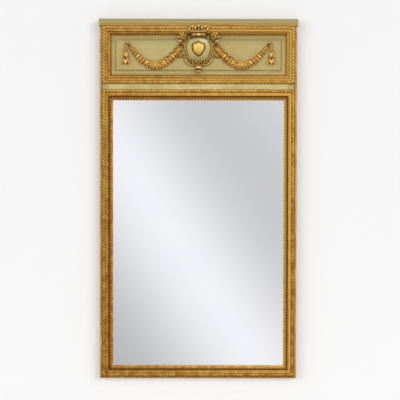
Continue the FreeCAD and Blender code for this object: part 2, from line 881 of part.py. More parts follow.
def make_ring(label, side):
    """A D-shaped ring of six-sided wire that hangs by the straight side, which lies in the strap's eye."""
    body = new_body(label)
    spine = new_sketch(body, label + "_spine", "XZ_Plane")
    wide = s.ring_half_width
    corner = s.ring_corner
    bend = corner * (1 - DIAGONAL)
    draw_outline(spine, [
        (ZERO, ZERO),
        (wide - corner, ZERO, wide - bend, -bend),
        (wide, -corner),
        (wide, -s.ring_side, ZERO, -(s.ring_side + wide)),
        (-wide, -s.ring_side),
        (-wide, -corner, -(wide - bend), -bend),
        (-(wide - corner), ZERO),
    ])
    section = new_sketch(body, label + "_section", "YZ_Plane")
    draw_outline(section, polygon(ZERO, ZERO, s.ring_wire, RING_SIDES))
    pipe = body.newObject("PartDesign::AdditivePipe", label + "_wire")
    pipe.Profile = section
    pipe.Spine = (spine, ["Edge%d" % (i + 1) for i in range(7)])
    body.Tip = pipe
    put_at(body, side * hanger_x, eye_radius, hanger_z)
    return body


def cut_hanger_screw_holes(stile, side):
    """Blind pilot holes in the stile's back."""
    sketch = new_sketch(stile, stile.Label + "_hanger_holes", "XZ_Plane", -s.cut_overrun)
    for x, z in hanger_screw_centres(side):
        draw_outline(sketch, polygon(x, z, s.hanger_screw_radius + s.hanger_screw_clearance, PEG_SIDES))
    pocket(stile, sketch, s.cut_overrun + s.hanger_screw_length)


SCREW_HEAD_SHARES = ((0.0, 0.8), (0.5, 1.0), (1.0, 0.6))
SCREW_POINT_SHARE = 0.5


def make_hanger_screws():
    """Round-headed wood screws, two through each strap into the stile. The rings run from point to head."""
    shank = s.hanger_screw_radius.value
    length = s.hanger_screw_length.value
    steps = [(-length, shank * SCREW_POINT_SHARE), (shank - length, shank), (0, shank)]
    for out, wide in SCREW_HEAD_SHARES:
        steps.append((s.hanger_head_height.value * out, s.hanger_head_radius.value * wide))
    rings = [fluted_ring(radius, out, PEG_SIDES, 0) for out, radius in steps]
    screw = faceted_solid([[FreeCAD.Vector(p.x, p.z, -p.y) for p in ring] for ring in rings])
    screws = []
    for side in (-1, 1):
        for x, z in hanger_screw_centres(side):
            screws.append(set_piece("hanger_screw", screw, x, -s.strap_thickness, z))
    group = doc.addObject("Part::Compound", "hanger_screws")
    group.Links = screws
    return group


# Carving helpers. A carved piece is drawn in X and Z on its flat back and rises towards the front.

CARVING_FACETS = 12
NOTCH_SHARE = 0.14
PEARL_FACETS = 6
PETAL_FACETS = 10
PETAL_NOTCH_SHARE = 0.22
RUN_SECTION_SHARES = ((-1.0, 0.0), (-0.86, 0.6), (-0.36, 0.97), (0.36, 0.97), (0.86, 0.6), (1.0, 0.0))


def at(x, z, front=0):
    return FreeCAD.Vector(float(x), -float(front), float(z))


def corners_along(edges, steps):
    """Even points along arcs and the start of each line; an edge's last point is left to the next edge."""
    corners = []
    for edge in edges:
        count = 1 if isinstance(edge, Part.LineSegment) else steps
        corners += edge.toShape().discretize(Number=count + 1)[:-1]
    return corners


def leaf_section(place, across, half, front):
    """A faceted arch of the given half width and height on the flat back."""
    return [place + across * (half * wide) + FRONT * (front * high) for wide, high in RUN_SECTION_SHARES]


def carved_run(stations):
    """A solid that follows stations (x, z, half width, height), each section square to the run."""
    rings = []
    for i, (x, z, half, front) in enumerate(stations):
        before = stations[max(i - 1, 0)]
        after = stations[min(i + 1, len(stations) - 1)]
        along = FreeCAD.Vector(after[0] - before[0], 0, after[1] - before[1])
        along.normalize()
        across = FreeCAD.Vector(along.z, 0, -along.x)
        rings.append(leaf_section(at(x, z), across, half, front))
    return faceted_solid(rings)


def straight_run(first, last, shares, half, front):
    """A carved run between two points, from shares (along, width, height)."""
    stations = []
    for along, wide, high in shares:
        x = first[0] + (last[0] - first[0]) * along
        z = first[1] + (last[1] - first[1]) * along
        stations.append((x, z, half * wide, front * high))
    return carved_run(stations)


def turned(shares, length, radius, sides, notch=0):
    """A faceted turning about Z from shares (height, radius), lowest first."""
    return faceted_solid([fluted_ring(radius * wide, length * high, sides, notch) for high, wide in shares])


def facing_front(shape):
    """Turns a piece made about Z so that its top faces the front."""
    shape.rotate(FreeCAD.Vector(0, 0, 0), FreeCAD.Vector(1, 0, 0), 90)
    return shape


def fuse_all(shapes):
    whole = shapes[0].fuse(shapes[1:])
    return whole.removeSplitter()


def flat_back(shape):
    """Cuts away what lies behind the flat back."""
    bounds = shape.BoundBox
    corner = FreeCAD.Vector(bounds.XMin, 0, bounds.ZMin)
    return shape.cut(Part.makeBox(bounds.XLength, bounds.YLength, bounds.ZLength, corner))


def scribed(shape):
    """Cuts back what would run into the sight mouldings over and under the panel, but not what is proud."""
    opening = s.panel_opening_height.value / 2 - panel_overhang.value - s.carving_clearance.value
    stand = (ridge_stand - field_front).value
    bounds = shape.BoundBox
    if bounds.ZMax > opening:
        corner = at(bounds.XMin, opening, stand)
        shape = shape.cut(Part.makeBox(bounds.XLength, stand, bounds.ZMax - opening, corner))
    if bounds.ZMin < -opening:
        corner = at(bounds.XMin, bounds.ZMin, stand)
        shape = shape.cut(Part.makeBox(bounds.XLength, stand, -opening - bounds.ZMin, corner))
    return shape


def mirrored(shape):
    return shape.mirror(FreeCAD.Vector(0, 0, 0), FreeCAD.Vector(1, 0, 0))


# Cartouche: plate, shield, side borders, top scroll, bow, acorn and coronet

VOLUTE_FACETS = 10
VOLUTE_STEPS = 10
VOLUTE_HALF_TURNS = 2.5
VOLUTE_DISC_SHARES = ((0.0, 1.0), (0.5, 1.0), (0.62, 0.84))
VOLUTE_EYE_SHARES = ((0.3, 0.22), (0.9, 0.22), (1.1, 0.12))
RIB_START_SHARE = 0.78
RIB_END_SHARE = 0.36
RIB_HALF_SHARE = 0.17
RIB_TAPER_SHARE = 0.4
PLATE_ARC_STEPS = 8
SHIELD_ARC_STEPS = 6
PLATE_SIDE_SHARES = ((0.80, 0.74), (1.0, 0.38), (0.74, -0.36))
PLATE_STEP_SHARES = ((1.0, 0.0), (0.82, 0.66), (0.66, 1.0))
SHIELD_PEAK_SHARES = (0.0, 0.50)
SHIELD_SCOOP_SHARES = (0.23, 0.40)
SHIELD_EAR_SHARES = (0.44, 0.46)
SHIELD_SHOULDER_SHARES = (0.50, 0.37)
SHIELD_BELLY_SHARES = (0.36, -0.25)
SHIELD_POINT_SHARES = (0.0, -0.50)
SHIELD_STEP_SHARES = ((1.0, 0.0), (0.96, 0.45), (0.55, 1.0))
BORDER_WAVE_SHARES = (0.6, 0.95, 0.7, 1.0, 0.72, 1.0, 0.72, 0.9, 0.6)
TIP_SHARES = ((0.0, 0.9, 0.8), (0.3, 1.0, 0.9), (0.65, 0.75, 0.7), (1.0, 0.2, 0.35))
SPOOL_SHARES = ((0.0, 1.0), (0.32, 0.7), (0.5, 0.92), (0.68, 0.7), (1.0, 1.0))
LOOP_SHARES = ((0.0, 0.62, 0.9), (0.5, 0.42, 0.72), (1.0, 0.6, 0.84))
ACORN_SHARES = ((0.0, 0.12), (0.1, 0.3), (0.16, 0.22), (0.24, 0.5), (0.45, 0.84), (0.58, 0.9), (0.62, 1.0),
                (0.82, 0.86), (0.93, 0.5), (1.0, 0.3))
PEARL_SHARES = ((-1.0, 0.8), (0.0, 1.0), (1.0, 0.45))
CORONET_BAND_SHARES = (-1.0, -0.5, 0.0, 0.5, 1.0)
CORONET_RAY_SHARES = ((-1.0, 0.42), (-0.72, 0.82), (-0.38, 0.62), (0.0, 0.9), (0.38, 0.62), (0.72, 0.82),
                      (1.0, 0.42))
RAY_SHARES = ((0.0, 1.0, 0.9), (1.0, 0.6, 0.7))
BAND_LIFT_SHARE = 0.12
BAND_HALF_SHARE = 0.13
RAY_SPREAD_SHARE = 0.8


def plate_point(shares):
    """A point on the plate's edge, from shares of its half width and of its top or bottom height."""
    across, up = shares
    height = s.plate_top if up > 0 else s.plate_bottom
    return at(s.plate_half_width.value * across, height.value * up)


def plate_outline(scale, front):
    """The plate's edge in four arcs, drawn in by scale about the shield's middle."""
    right = [plate_point(shares) for shares in PLATE_SIDE_SHARES]
    left = [FreeCAD.Vector(-p.x, p.y, p.z) for p in right]
    top = at(0, s.plate_top)
    bottom = at(0, -s.plate_bottom)
    centre = at(0, s.shield_rise)

    def drawn_in(point):
        return centre + (point - centre) * scale + FRONT * front

    arcs = ((left[0], top, right[0]), right, (right[2], bottom, left[2]), left[::-1])
    return corners_along([Part.Arc(*[drawn_in(point) for point in arc]) for arc in arcs], PLATE_ARC_STEPS)


def make_plate():
    """An oval plate with a square rim and a low dome, and a neck that carries the top scroll."""
    rim = s.plate_rim_front.value
    dome = s.plate_dome.value
    steps = [(1.0, 0.0)] + [(scale, rim + dome * rise) for scale, rise in PLATE_STEP_SHARES]
    plate = faceted_solid([plate_outline(scale, front) for scale, front in steps])
    half = s.volute_offset.value
    foot = s.shield_rise.value
    top = s.top_scroll_rise.value - s.volute_radius.value / 2
    stand = (ridge_stand - carving_back).value
    neck = Part.makeBox(half * 2, stand, top - foot, at(-half, foot, stand))
    return fuse_all([plate, scribed(neck)])


def shield_outline(scale, front):
    """Two scoops meet in a peak at the top, and the sides sweep to a point."""
    wide = s.shield_width.value * scale
    tall = s.shield_height.value * scale

    def place(shares, side=1):
        return at(side * wide * shares[0], tall * shares[1], front)

    peak = place(SHIELD_PEAK_SHARES)
    point = place(SHIELD_POINT_SHARES)
    return corners_along([
        Part.Arc(peak, place(SHIELD_SCOOP_SHARES), place(SHIELD_EAR_SHARES)),
        Part.LineSegment(place(SHIELD_EAR_SHARES), place(SHIELD_SHOULDER_SHARES)),
        Part.Arc(place(SHIELD_SHOULDER_SHARES), place(SHIELD_BELLY_SHARES), point),
        Part.Arc(point, place(SHIELD_BELLY_SHARES, -1), place(SHIELD_SHOULDER_SHARES, -1)),
        Part.LineSegment(place(SHIELD_SHOULDER_SHARES, -1), place(SHIELD_EAR_SHARES, -1)),
        Part.Arc(place(SHIELD_EAR_SHARES, -1), place(SHIELD_SCOOP_SHARES, -1), peak),
    ], SHIELD_ARC_STEPS)


def make_shield():
    front = s.shield_front.value
    return faceted_solid([shield_outline(scale, front * out) for scale, out in SHIELD_STEP_SHARES])


def volute(radius, front, side):
    """A rolled end seen from the front: a disc, a rib that winds in on it, and a raised eye."""
    disc = facing_front(turned(VOLUTE_DISC_SHARES, front, radius, VOLUTE_FACETS))
    stations = []
    for i in range(VOLUTE_STEPS + 1):
        inward = i / VOLUTE_STEPS
        reach = radius * (RIB_START_SHARE + (RIB_END_SHARE - RIB_START_SHARE) * inward)
        angle = math.pi / 2 - side * math.pi * VOLUTE_HALF_TURNS * inward
        half = radius * RIB_HALF_SHARE * (1 - inward * RIB_TAPER_SHARE)
        stations.append((reach * math.cos(angle), reach * math.sin(angle), half, front))
    eye = facing_front(turned(VOLUTE_EYE_SHARES, front, radius, VOLUTE_FACETS))
    return fuse_all([disc, carved_run(stations), eye])


def make_border():
    """The right border: a leafy scroll down the plate's side, rolled at the top and flared below."""
    upper, widest, lower = [plate_point(shares) for shares in PLATE_SIDE_SHARES]
    side = Part.Arc(upper, widest, lower).toShape().Curve
    centre = side.Center
    half = s.border_width.value / 2
    reach = side.Radius + half + s.carving_clearance.value
    start = math.atan2(upper.z - centre.z, upper.x - centre.x)
    end = math.atan2(lower.z - centre.z, lower.x - centre.x)
    front = s.border_front.value
    stations = []
    for i, wave in enumerate(BORDER_WAVE_SHARES):
        angle = start + (end - start) * i / (len(BORDER_WAVE_SHARES) - 1)
        x = centre.x + reach * math.cos(angle)
        z = centre.z + reach * math.sin(angle)
        stations.append((x, z, half * wave, front * (1 + wave) / 2))
    roll = volute(s.border_volute.value, front, 1)
    outward = reach + s.border_volute.value - half
    roll.translate(at(centre.x + outward * math.cos(start), centre.z + outward * math.sin(start)))
    foot = stations[-2]
    lean = math.radians(s.tip_lean.value)
    length = s.tip_length.value
    tip = straight_run(foot[:2], (foot[0] + length * math.cos(lean), foot[1] - length * math.sin(lean)),
                       TIP_SHARES, s.tip_width.value / 2, front)
    return fuse_all([carved_run(stations), roll, tip])


def make_top_scroll():
    """Two volutes joined by a spool, rolled forward over the plate's top edge."""
    radius = s.volute_radius.value
    offset = s.volute_offset.value
    parts = []
    for side in (-1, 1):
        roll = volute(radius, s.volute_front.value, side)
        roll.translate(at(side * offset, 0))
        parts.append(roll)
    spool_radius = s.spool_radius.value
    spool = turned(SPOOL_SHARES, offset * 2, spool_radius, VOLUTE_FACETS)
    spool.rotate(FreeCAD.Vector(0, 0, 0), FreeCAD.Vector(0, 1, 0), 90)
    spool.translate(at(-offset, 0, spool_radius * DIAGONAL))
    parts.append(flat_back(spool))
    return fuse_all(parts)


def make_bow():
    """The tied bow under the plate: two small volutes with a loop from each to the knot."""
    radius = s.bow_radius.value
    front = s.bow_front.value
    offset = s.bow_offset.value
    parts = []
    for side in (-1, 1):
        roll = volute(radius, front, side)
        roll.translate(at(side * offset, 0))
        parts.append(roll)
        parts.append(straight_run((side * offset, 0), (-side * radius / 4, 0), LOOP_SHARES, radius, front))
    return fuse_all(parts)


def make_acorn():
    """A hanging bud: leaf cup above, ribbed nut and a small tip."""
    radius = s.acorn_radius.value
    nut = turned(ACORN_SHARES, s.acorn_length.value, radius, CARVING_FACETS, NOTCH_SHARE)
    nut.translate(at(0, -s.acorn_length.value, radius / 2))
    return flat_back(nut)


def make_coronet():
    """An open crown: a curved band and seven pointed rays, each tipped with a pearl."""
    half = s.coronet_half_width.value
    tall = s.coronet_height.value
    front = s.coronet_front.value
    ball = s.pearl_radius.value
    lift = tall * BAND_LIFT_SHARE
    thick = tall * BAND_HALF_SHARE
    parts = [carved_run([(half * x, lift * x * x, thick, front) for x in CORONET_BAND_SHARES])]
    for across, up in CORONET_RAY_SHARES:
        foot = (half * across * RAY_SPREAD_SHARE, lift * across * across)
        tip = (half * across, tall * up)
        parts.append(straight_run(foot, tip, RAY_SHARES, ball, front))
        bead = turned(PEARL_SHARES, ball, ball, PEARL_FACETS)
        bead.translate(at(tip[0], tip[1], ball))
        parts.append(bead)
    return fuse_all(parts)


# Crossed quivers of flowers behind the cartouche: their mouths show above, their lower ends below

MOUTH_SHARES = ((0.0, 0.8, 0.8), (0.45, 0.88, 0.88), (0.5, 1.0, 1.0), (0.9, 1.0, 1.0), (1.0, 0.9, 0.9))
TAIL_SHARES = ((0.0, 0.8, 0.8), (0.42, 0.74, 0.74), (0.5, 0.94, 0.94), (0.68, 0.94, 0.94),
               (0.76, 0.66, 0.66), (1.0, 0.42, 0.42))
PETAL_SHARES = ((0.0, 0.9), (0.45, 1.0), (0.8, 0.7))
HEART_SHARES = ((0.3, 0.32), (0.95, 0.32), (1.15, 0.2))
BLOSSOM_SHARES = ((0.93, 0.12, 1.05), (0.93, 0.72, 0.95), (1.03, -0.35, 0.9), (1.05, 0.4, 0.95),
                  (0.8, 0.6, 0.75))


def quiver_place(distance, aside, slope):
    """A point on the right quiver, which leans by slope and whose line crosses the cartouche."""
    x = distance * math.cos(slope) - aside * math.sin(slope)
    z = s.quiver_rise.value + distance * math.sin(slope) + aside * math.cos(slope)
    return x, z


def make_blossom(radius, front):
    """Petals round a raised heart, seen from the front."""
    petals = facing_front(turned(PETAL_SHARES, front, radius, PETAL_FACETS, PETAL_NOTCH_SHARE))
    heart = facing_front(turned(HEART_SHARES, front, radius, PEARL_FACETS))
    return fuse_all([petals, heart])


def make_spray():
    """The right quiver's banded mouth with its flowers, which stand proud of the sight moulding."""
    slope = math.radians(s.quiver_slope.value)
    mouth = s.quiver_mouth.value
    front = s.quiver_front.value
    radius = s.blossom_radius.value
    cup = straight_run(quiver_place(s.quiver_neck.value, 0, slope), quiver_place(mouth, 0, slope),
                       MOUTH_SHARES, s.quiver_width.value / 2, front)
    parts = [scribed(cup)]
    stand = (ridge_stand - field_front).value
    for along, aside, big in BLOSSOM_SHARES:
        x, z = quiver_place(s.spray_reach.value * along, s.quiver_width.value * aside, slope)
        flower = make_blossom(radius * big, s.blossom_front.value)
        flower.translate(at(x, z, stand))
        parts.append(flower)
    return fuse_all(parts)


def make_quiver_tail():
    """The lower end that shows on the right, below the plate."""
    slope = -math.radians(s.quiver_slope.value)
    first = quiver_place(s.quiver_waist.value, 0, slope)
    last = quiver_place(s.quiver_tail.value, 0, slope)
    return straight_run(first, last, TAIL_SHARES, s.quiver_width.value / 2, s.quiver_front.value)


# Swags and husk drops

HUSK_SHARES = ((0.0, 0.62), (0.5, 0.86), (1.08, 1.1))
BAND_SHARES = ((0.0, 1.0, 1.0), (1.0, 1.0, 1.0))
DROP_SHARES = ((0.0, 0.2), (0.04, 0.3), (0.1, 0.34), (0.15, 0.24), (0.18, 0.3), (0.32, 0.5), (0.48, 0.62),
               (0.53, 0.5), (0.54, 0.3), (0.58, 0.5), (0.7, 0.86), (0.86, 1.0), (0.96, 0.8), (1.0, 0.55))
DROP_AXIS_SHARE = 0.4
MIDDLE_SHARE = 0.5
KNOT_RISE_SHARE = 1.3
KNOT_STEPS = 6
SWAG_SWELL_POWER = 0.7


def swag_place(share):
    """The right swag hangs in a parabola; share runs from the cartouche end to the outer end."""
    x = swag_inner.value + swag_span.value * share
    z = s.swag_rise.value - 4 * s.swag_sag.value * share * (1 - share)
    return x, z


def swag_fullness(share):
    """Half the swag's width, and its height, at a share of its length: fullest in the middle."""
    middle = math.sin(math.pi * share) ** SWAG_SWELL_POWER
    half = (s.swag_end_width.value + (s.swag_width.value - s.swag_end_width.value) * middle) / 2
    front = s.swag_end_front.value + (s.swag_front.value - s.swag_end_front.value) * middle
    return half, front


def make_husk(first, last, room):
    """One flared husk from a share of the swag's length to the next."""
    half, front = swag_fullness(last)
    shares = [(along, swell, swell) for along, swell in HUSK_SHARES]
    return straight_run(swag_place(first), swag_place(last), shares, half + room, front + room)


def make_swag(room=0):
    """Husks that overlap towards the middle from both ends, tied there by a band, all larger by room."""
    count = int(s.swag_husks.value)
    half_band = s.band_width.value / swag_span.value / 2
    husk = (MIDDLE_SHARE - half_band) / count
    parts = []
    for i in range(count):
        parts.append(make_husk(i * husk, (i + 1) * husk, room))
        parts.append(make_husk(1 - i * husk, 1 - (i + 1) * husk, room))
    half, front = swag_fullness(MIDDLE_SHARE)
    first = swag_place(MIDDLE_SHARE - half_band)
    last = swag_place(MIDDLE_SHARE + half_band)
    parts.append(straight_run(first, last, BAND_SHARES, half + room, front + room))
    return fuse_all(parts)


def make_drop():
    """Two husks, one in the mouth of the other, under a small ball."""
    radius = s.drop_radius.value
    drop = turned(DROP_SHARES, s.drop_length.value, radius, CARVING_FACETS, NOTCH_SHARE)
    drop.rotate(FreeCAD.Vector(0, 0, 0), FreeCAD.Vector(1, 0, 0), 180)
    drop.translate(at(0, 0, radius * DROP_AXIS_SHARE))
    return flat_back(drop)


def make_knot():
    """The cord that bends over its pin from the right swag's outer end to the drop."""
    swag_x, swag_z = swag_place(1.0)
    half = s.knot_reach.value / 2
    stations = []
    for i in range(KNOT_STEPS + 1):
        angle = math.pi * i / KNOT_STEPS
        stations.append((swag_x + half - half * math.cos(angle),
                         swag_z + s.knot_lift.value + half * KNOT_RISE_SHARE * math.sin(angle),
                         s.knot_width.value / 2, s.knot_front.value))
    return carved_run(stations)


# Building

def both_sides(word, shape, x, front, z):
    """A carved piece and its mirror image."""
    return [
        set_piece(word + "_right", shape, x, front, z),
        set_piece(word + "_left", mirrored(shape), -float(x), front, z),
    ]


def make_carving():
    gap = s.carving_clearance.value
    base = carving_back.value
    middle = panel_middle.value
    over_plate = base + s.plate_rim_front.value + s.plate_dome.value + gap
    over_ridge = ridge_stand.value + gap
    over_rope = (s.carcass_depth + s.rope_base + s.rope_width / 2).value + gap
    bow = middle - s.bow_drop.value
    pieces = [
        set_piece("cartouche_plate", make_plate(), 0, base, middle),
        set_piece("shield", make_shield(), 0, over_plate, middle + s.shield_rise.value),
        set_piece("top_scroll", make_top_scroll(), 0, over_ridge, middle + s.top_scroll_rise.value),
        set_piece("bottom_bow", make_bow(), 0, base, bow),
        set_piece("acorn_drop", make_acorn(), 0, base, bow - s.bow_radius.value - gap),
        set_piece("coronet", make_coronet(), 0, over_rope, middle + s.coronet_rise.value),
    ]
    pieces += both_sides("cartouche_border", make_border(), 0, base, middle)
    pieces += both_sides("flower_quiver", make_spray(), 0, base, middle)
    tail = make_quiver_tail().cut(make_swag(gap))
    pieces += both_sides("quiver_tail", tail, 0, base, middle)
    pieces += both_sides("swag", make_swag(), 0, base, middle)
    pieces += both_sides("swag_knot", make_knot(), 0, base, middle)
    pieces += both_sides("husk_drop", make_drop(), drop_offset, base, middle + s.drop_rise.value)
    return pieces


def check(pieces):
    """Stops the build if any object failed or any piece has no sound solid."""
    for item in doc.Objects:
        if "Invalid" in item.State or "Error" in item.State:
            raise RuntimeError("%s failed: %s" % (item.Label, item.State))
    for piece in pieces:
        shape = piece.Shape
        if shape.isNull() or not shape.isValid() or not shape.Solids or shape.Volume <= 0:
            raise RuntimeError("%s has no sound solid" % piece.Label)


def main():
    carcass = make_carcass()
    stile_left, stile_right, bottom, middle, _ = carcass
    cut_rail_nail_holes(bottom, middle)
    cut_hanger_screw_holes(stile_left, -1)
    cut_hanger_screw_holes(stile_right, 1)
    pieces = carcass + [make_pegs(), make_cap(), make_panel()]
    pieces += make_mouldings()
    pieces += [make_glass(), make_wedges()]
    pieces += make_boards()
    pieces += [make_nails()]
    pieces += [make_strap("hanger_strap_left", -1), make_strap("hanger_strap_right", 1)]
    pieces += [make_ring("hanger_ring_left", -1), make_ring("hanger_ring_right", 1)]
    pieces += [make_hanger_screws()]
    pieces += make_carving()
    doc.recompute()
    check(pieces)
    os.makedirs("parts", exist_ok=True)
    for piece in pieces:
        piece.Shape.exportStep("parts/%s.step" % piece.Label)
    sight_width = (inner_x - mirror_overhang).value * 2
    sight_height = (middle_rail_low - s.bottom_rail_height - mirror_overhang * 2).value
    print("%d pieces, mirror sight opening %.1f by %.1f" % (len(pieces), sight_width, sight_height))


main()
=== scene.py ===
import cmath
import contextlib
import math
import random

import bmesh
import bpy
import numpy as np
from mathutils import Matrix, Quaternion, Vector


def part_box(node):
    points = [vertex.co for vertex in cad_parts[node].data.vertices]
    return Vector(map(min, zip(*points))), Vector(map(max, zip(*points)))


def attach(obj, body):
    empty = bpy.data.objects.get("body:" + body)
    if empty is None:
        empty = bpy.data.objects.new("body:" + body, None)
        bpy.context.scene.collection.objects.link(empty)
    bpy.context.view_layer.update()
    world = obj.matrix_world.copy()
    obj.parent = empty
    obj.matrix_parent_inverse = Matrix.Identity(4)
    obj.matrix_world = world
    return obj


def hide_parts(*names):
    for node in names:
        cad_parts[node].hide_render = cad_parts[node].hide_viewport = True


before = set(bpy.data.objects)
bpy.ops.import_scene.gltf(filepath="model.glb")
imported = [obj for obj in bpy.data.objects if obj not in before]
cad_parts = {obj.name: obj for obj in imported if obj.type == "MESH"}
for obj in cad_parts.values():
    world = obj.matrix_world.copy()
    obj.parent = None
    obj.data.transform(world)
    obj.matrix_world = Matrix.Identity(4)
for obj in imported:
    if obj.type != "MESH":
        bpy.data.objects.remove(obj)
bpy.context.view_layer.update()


# The room: a pale wall that the frame hangs on, just behind its hangers' eyes, and a pale floor below it.
# Two large soft lights stand left and right of the frame, the right one stronger, and a third behind shows its back.
# The wall shows only from its front, so the frame's back can be seen from behind.

MM = 0.001
WALL_Y = 0.009
WALL_TOP = 3.2
FLOOR_Z = -0.75
ROOM_REACH = 4.0
SCREED_CLOUD = 667  # millimetres
AMBIENT_LEVEL = 0.60
SUNS = (
    # name, degrees to the right of the frame's front, degrees up, strength, apparent width in degrees
    ("key_light", 46, 20, 1.08, 34),
    ("fill_light", -50, 12, 0.94, 40),
    ("back_light", 150, 30, 1.5, 40),
)


def linear(hex_colour):
    """An sRGB hex colour as linear red, green, blue and alpha."""
    channels = [int(hex_colour[i:i + 2], 16) / 255 for i in (1, 3, 5)]
    return tuple(c / 12.92 if c <= 0.04045 else ((c + 0.055) / 1.055) ** 2.4 for c in channels) + (1.0,)


def add_node(tree, kind, inputs=(), out=0, **settings):
    """Adds a node, and gives one of its outputs. An input is a value, an sRGB hex colour or another node's output."""
    node = tree.nodes.new(kind if "Node" in kind else "ShaderNode" + kind)
    for name, value in settings.items():
        setattr(node, name, value)
    for key, value in inputs.items() if isinstance(inputs, dict) else enumerate(inputs):
        if isinstance(value, bpy.types.NodeSocket):
            tree.links.new(value, node.inputs[key])
        else:
            node.inputs[key].default_value = linear(value) if str(value).startswith("#") else value
    return node.outputs[out] if node.outputs else None


def new_material(name):
    material = bpy.data.materials.new(name)
    material.use_nodes = True
    material.node_tree.nodes.clear()
    return material, material.node_tree


def object_place(tree, scale=(1, 1, 1)):
    """Places on the piece in the frame's own metres, stretched by scale."""
    place = add_node(tree, "TexCoord", out="Object")
    return add_node(tree, "Mapping", {"Vector": place, "Scale": scale})


def mottle(tree, size, detail, **more):
    """Cloudy patches that stay with the piece, from 0 to 1. Their size, or their sizes on X, Y and Z, is in mm."""
    sizes = size if isinstance(size, tuple) else (size,) * 3
    place = object_place(tree, [1 / (width * MM) for width in sizes])
    return add_node(tree, "TexNoise", {"Vector": place, "Scale": 1.0, "Detail": detail, **more})


def flat_sheet(name, near, far, material):
    """A flat sheet between two level edges, each a Y and a Z, that isn't part of the object."""
    corners = [(-ROOM_REACH, *near), (ROOM_REACH, *near), (ROOM_REACH, *far), (-ROOM_REACH, *far)]
    mesh = bpy.data.meshes.new(name)
    mesh.from_pydata(corners, [], [(0, 1, 2, 3)])
    mesh.materials.append(material)
    sheet = bpy.data.objects.new(name, mesh)
    bpy.context.scene.collection.objects.link(sheet)
    return sheet


# Matt emulsion on plaster: even, with no gloss. It shows to the camera from the front only.
wall_paint, tree = new_material("wall_emulsion")
seen = add_node(tree, "Math", [add_node(tree, "LightPath", out="Is Camera Ray"),
                               add_node(tree, "NewGeometry", out="Backfacing")], operation="SUBTRACT", use_clamp=True)
matt = add_node(tree, "BsdfDiffuse", {"Color": "#F0F0F1"})
either = add_node(tree, "MixShader", [seen, add_node(tree, "BsdfTransparent"), matt])
add_node(tree, "OutputMaterial", {"Surface": either})
flat_sheet("wall", (WALL_Y, FLOOR_Z), (WALL_Y, WALL_TOP), wall_paint)

# Pale sealed screed: matt, with the faintest clouding.
floor_finish, tree = new_material("floor_screed")
tone = add_node(tree, "Mix", {0: mottle(tree, SCREED_CLOUD, 2.0), 6: "#ECEAE7", 7: "#E6E4E0"}, 2, data_type="RGBA")
screed = add_node(tree, "BsdfPrincipled", {"Base Color": tone, "Roughness": 0.9})
add_node(tree, "OutputMaterial", {"Surface": screed})
floor = flat_sheet("floor", (-ROOM_REACH, FLOOR_Z), (ROOM_REACH, FLOOR_Z), floor_finish)
floor.visible_glossy = False

for name, right, up, strength, width in SUNS:
    lamp = bpy.data.lights.new(name, "SUN")
    lamp.energy = strength
    lamp.angle = math.radians(width)
    sun = bpy.data.objects.new(name, lamp)
    right, up = math.radians(right), math.radians(up)
    towards = Vector((math.sin(right) * math.cos(up), -math.cos(right) * math.cos(up), math.sin(up)))
    sun.rotation_euler = towards.to_track_quat("Z", "Y").to_euler()
    sun.visible_glossy = False
    bpy.context.scene.collection.objects.link(sun)

# The world lights the room evenly. Polished surfaces see a studio in it: in front a soft bright band that runs down
# to the right, with a dimmer room on either side, and towards the sides a large soft box on the right and a small
# one on the left. Places across the band are slopes of a reflected ray against the straight look out.
BAND_DOWN = 0.66
BAND_REACH = 0.34
BAND_START = 0.556765  # the place across the band that a straight look out meets
BAND_TONES = (
    # place across the band, from 0 to 1, and the tone there
    (0.0, 0.50), (0.12, 0.60), (0.24, 0.82), (0.36, 1.0), (0.46, 0.92), (0.60, 0.64), (0.76, 0.62), (0.92, 0.74),
    (1.0, 0.80),
)
BOX_TONES = (
    # place from the left side, 0, to the right side, 1, and the tone there as a share of BOX_LEVEL
    (0.0, 0.08), (0.14, 0.50), (0.32, 0.28), (0.50, 0.26), (0.66, 0.46), (0.80, 0.62), (0.93, 0.52), (1.0, 0.15),
)
BOX_LEVEL = 1.6
BOX_LIFT = 0.60
SIDE_FROM = 0.20
SIDE_TO = 0.45
LEAST_DEPTH = 0.05


def tones_along(tree, place, tones, blend="LINEAR"):
    """A run of greys or of hex colours over places from 0 to 1."""
    ramp = add_node(tree, "ValToRGB", [place])
    ramp.node.color_ramp.interpolation = blend
    stops = ramp.node.color_ramp.elements
    while len(stops) < len(tones):
        stops.new(0.5)
    for stop, (share, tone) in zip(stops, tones):
        stop.position = share
        stop.color = linear(tone) if isinstance(tone, str) else (tone, tone, tone, 1.0)
    return ramp


world = bpy.data.worlds.new("studio")
world.use_nodes = True
bpy.context.scene.world = world
tree = world.node_tree
tree.nodes.clear()
ray = add_node(tree, "SeparateXYZ", [add_node(tree, "TexCoord", out="Generated")]).node.outputs
depth = add_node(tree, "Math", [ray["Y"]], operation="ABSOLUTE")
depth = add_node(tree, "Math", [depth, LEAST_DEPTH], operation="MAXIMUM")
across = add_node(tree, "Math", [ray["X"], depth], operation="DIVIDE")
down = add_node(tree, "Math", [ray["Z"], depth], operation="DIVIDE")
slant = add_node(tree, "Math", [down, BAND_DOWN, across], operation="MULTIPLY_ADD")
share = add_node(tree, "Math", [slant, 1 / BAND_REACH, BAND_START], operation="MULTIPLY_ADD")
band = tones_along(tree, share, BAND_TONES, "B_SPLINE")
turn = add_node(tree, "Math", [ray["X"], 0.5, 0.5], operation="MULTIPLY_ADD")
level = add_node(tree, "Math", [ray["Z"], BOX_LEVEL * BOX_LIFT, BOX_LEVEL], operation="MULTIPLY_ADD")
boxes = add_node(tree, "Mix", {0: 1.0, 6: tones_along(tree, turn, BOX_TONES, "B_SPLINE"), 7: level}, 2,
                 data_type="RGBA", blend_type="MULTIPLY")
aside = add_node(tree, "Math", [across], operation="ABSOLUTE")
above = add_node(tree, "Math", [down], operation="ABSOLUTE")
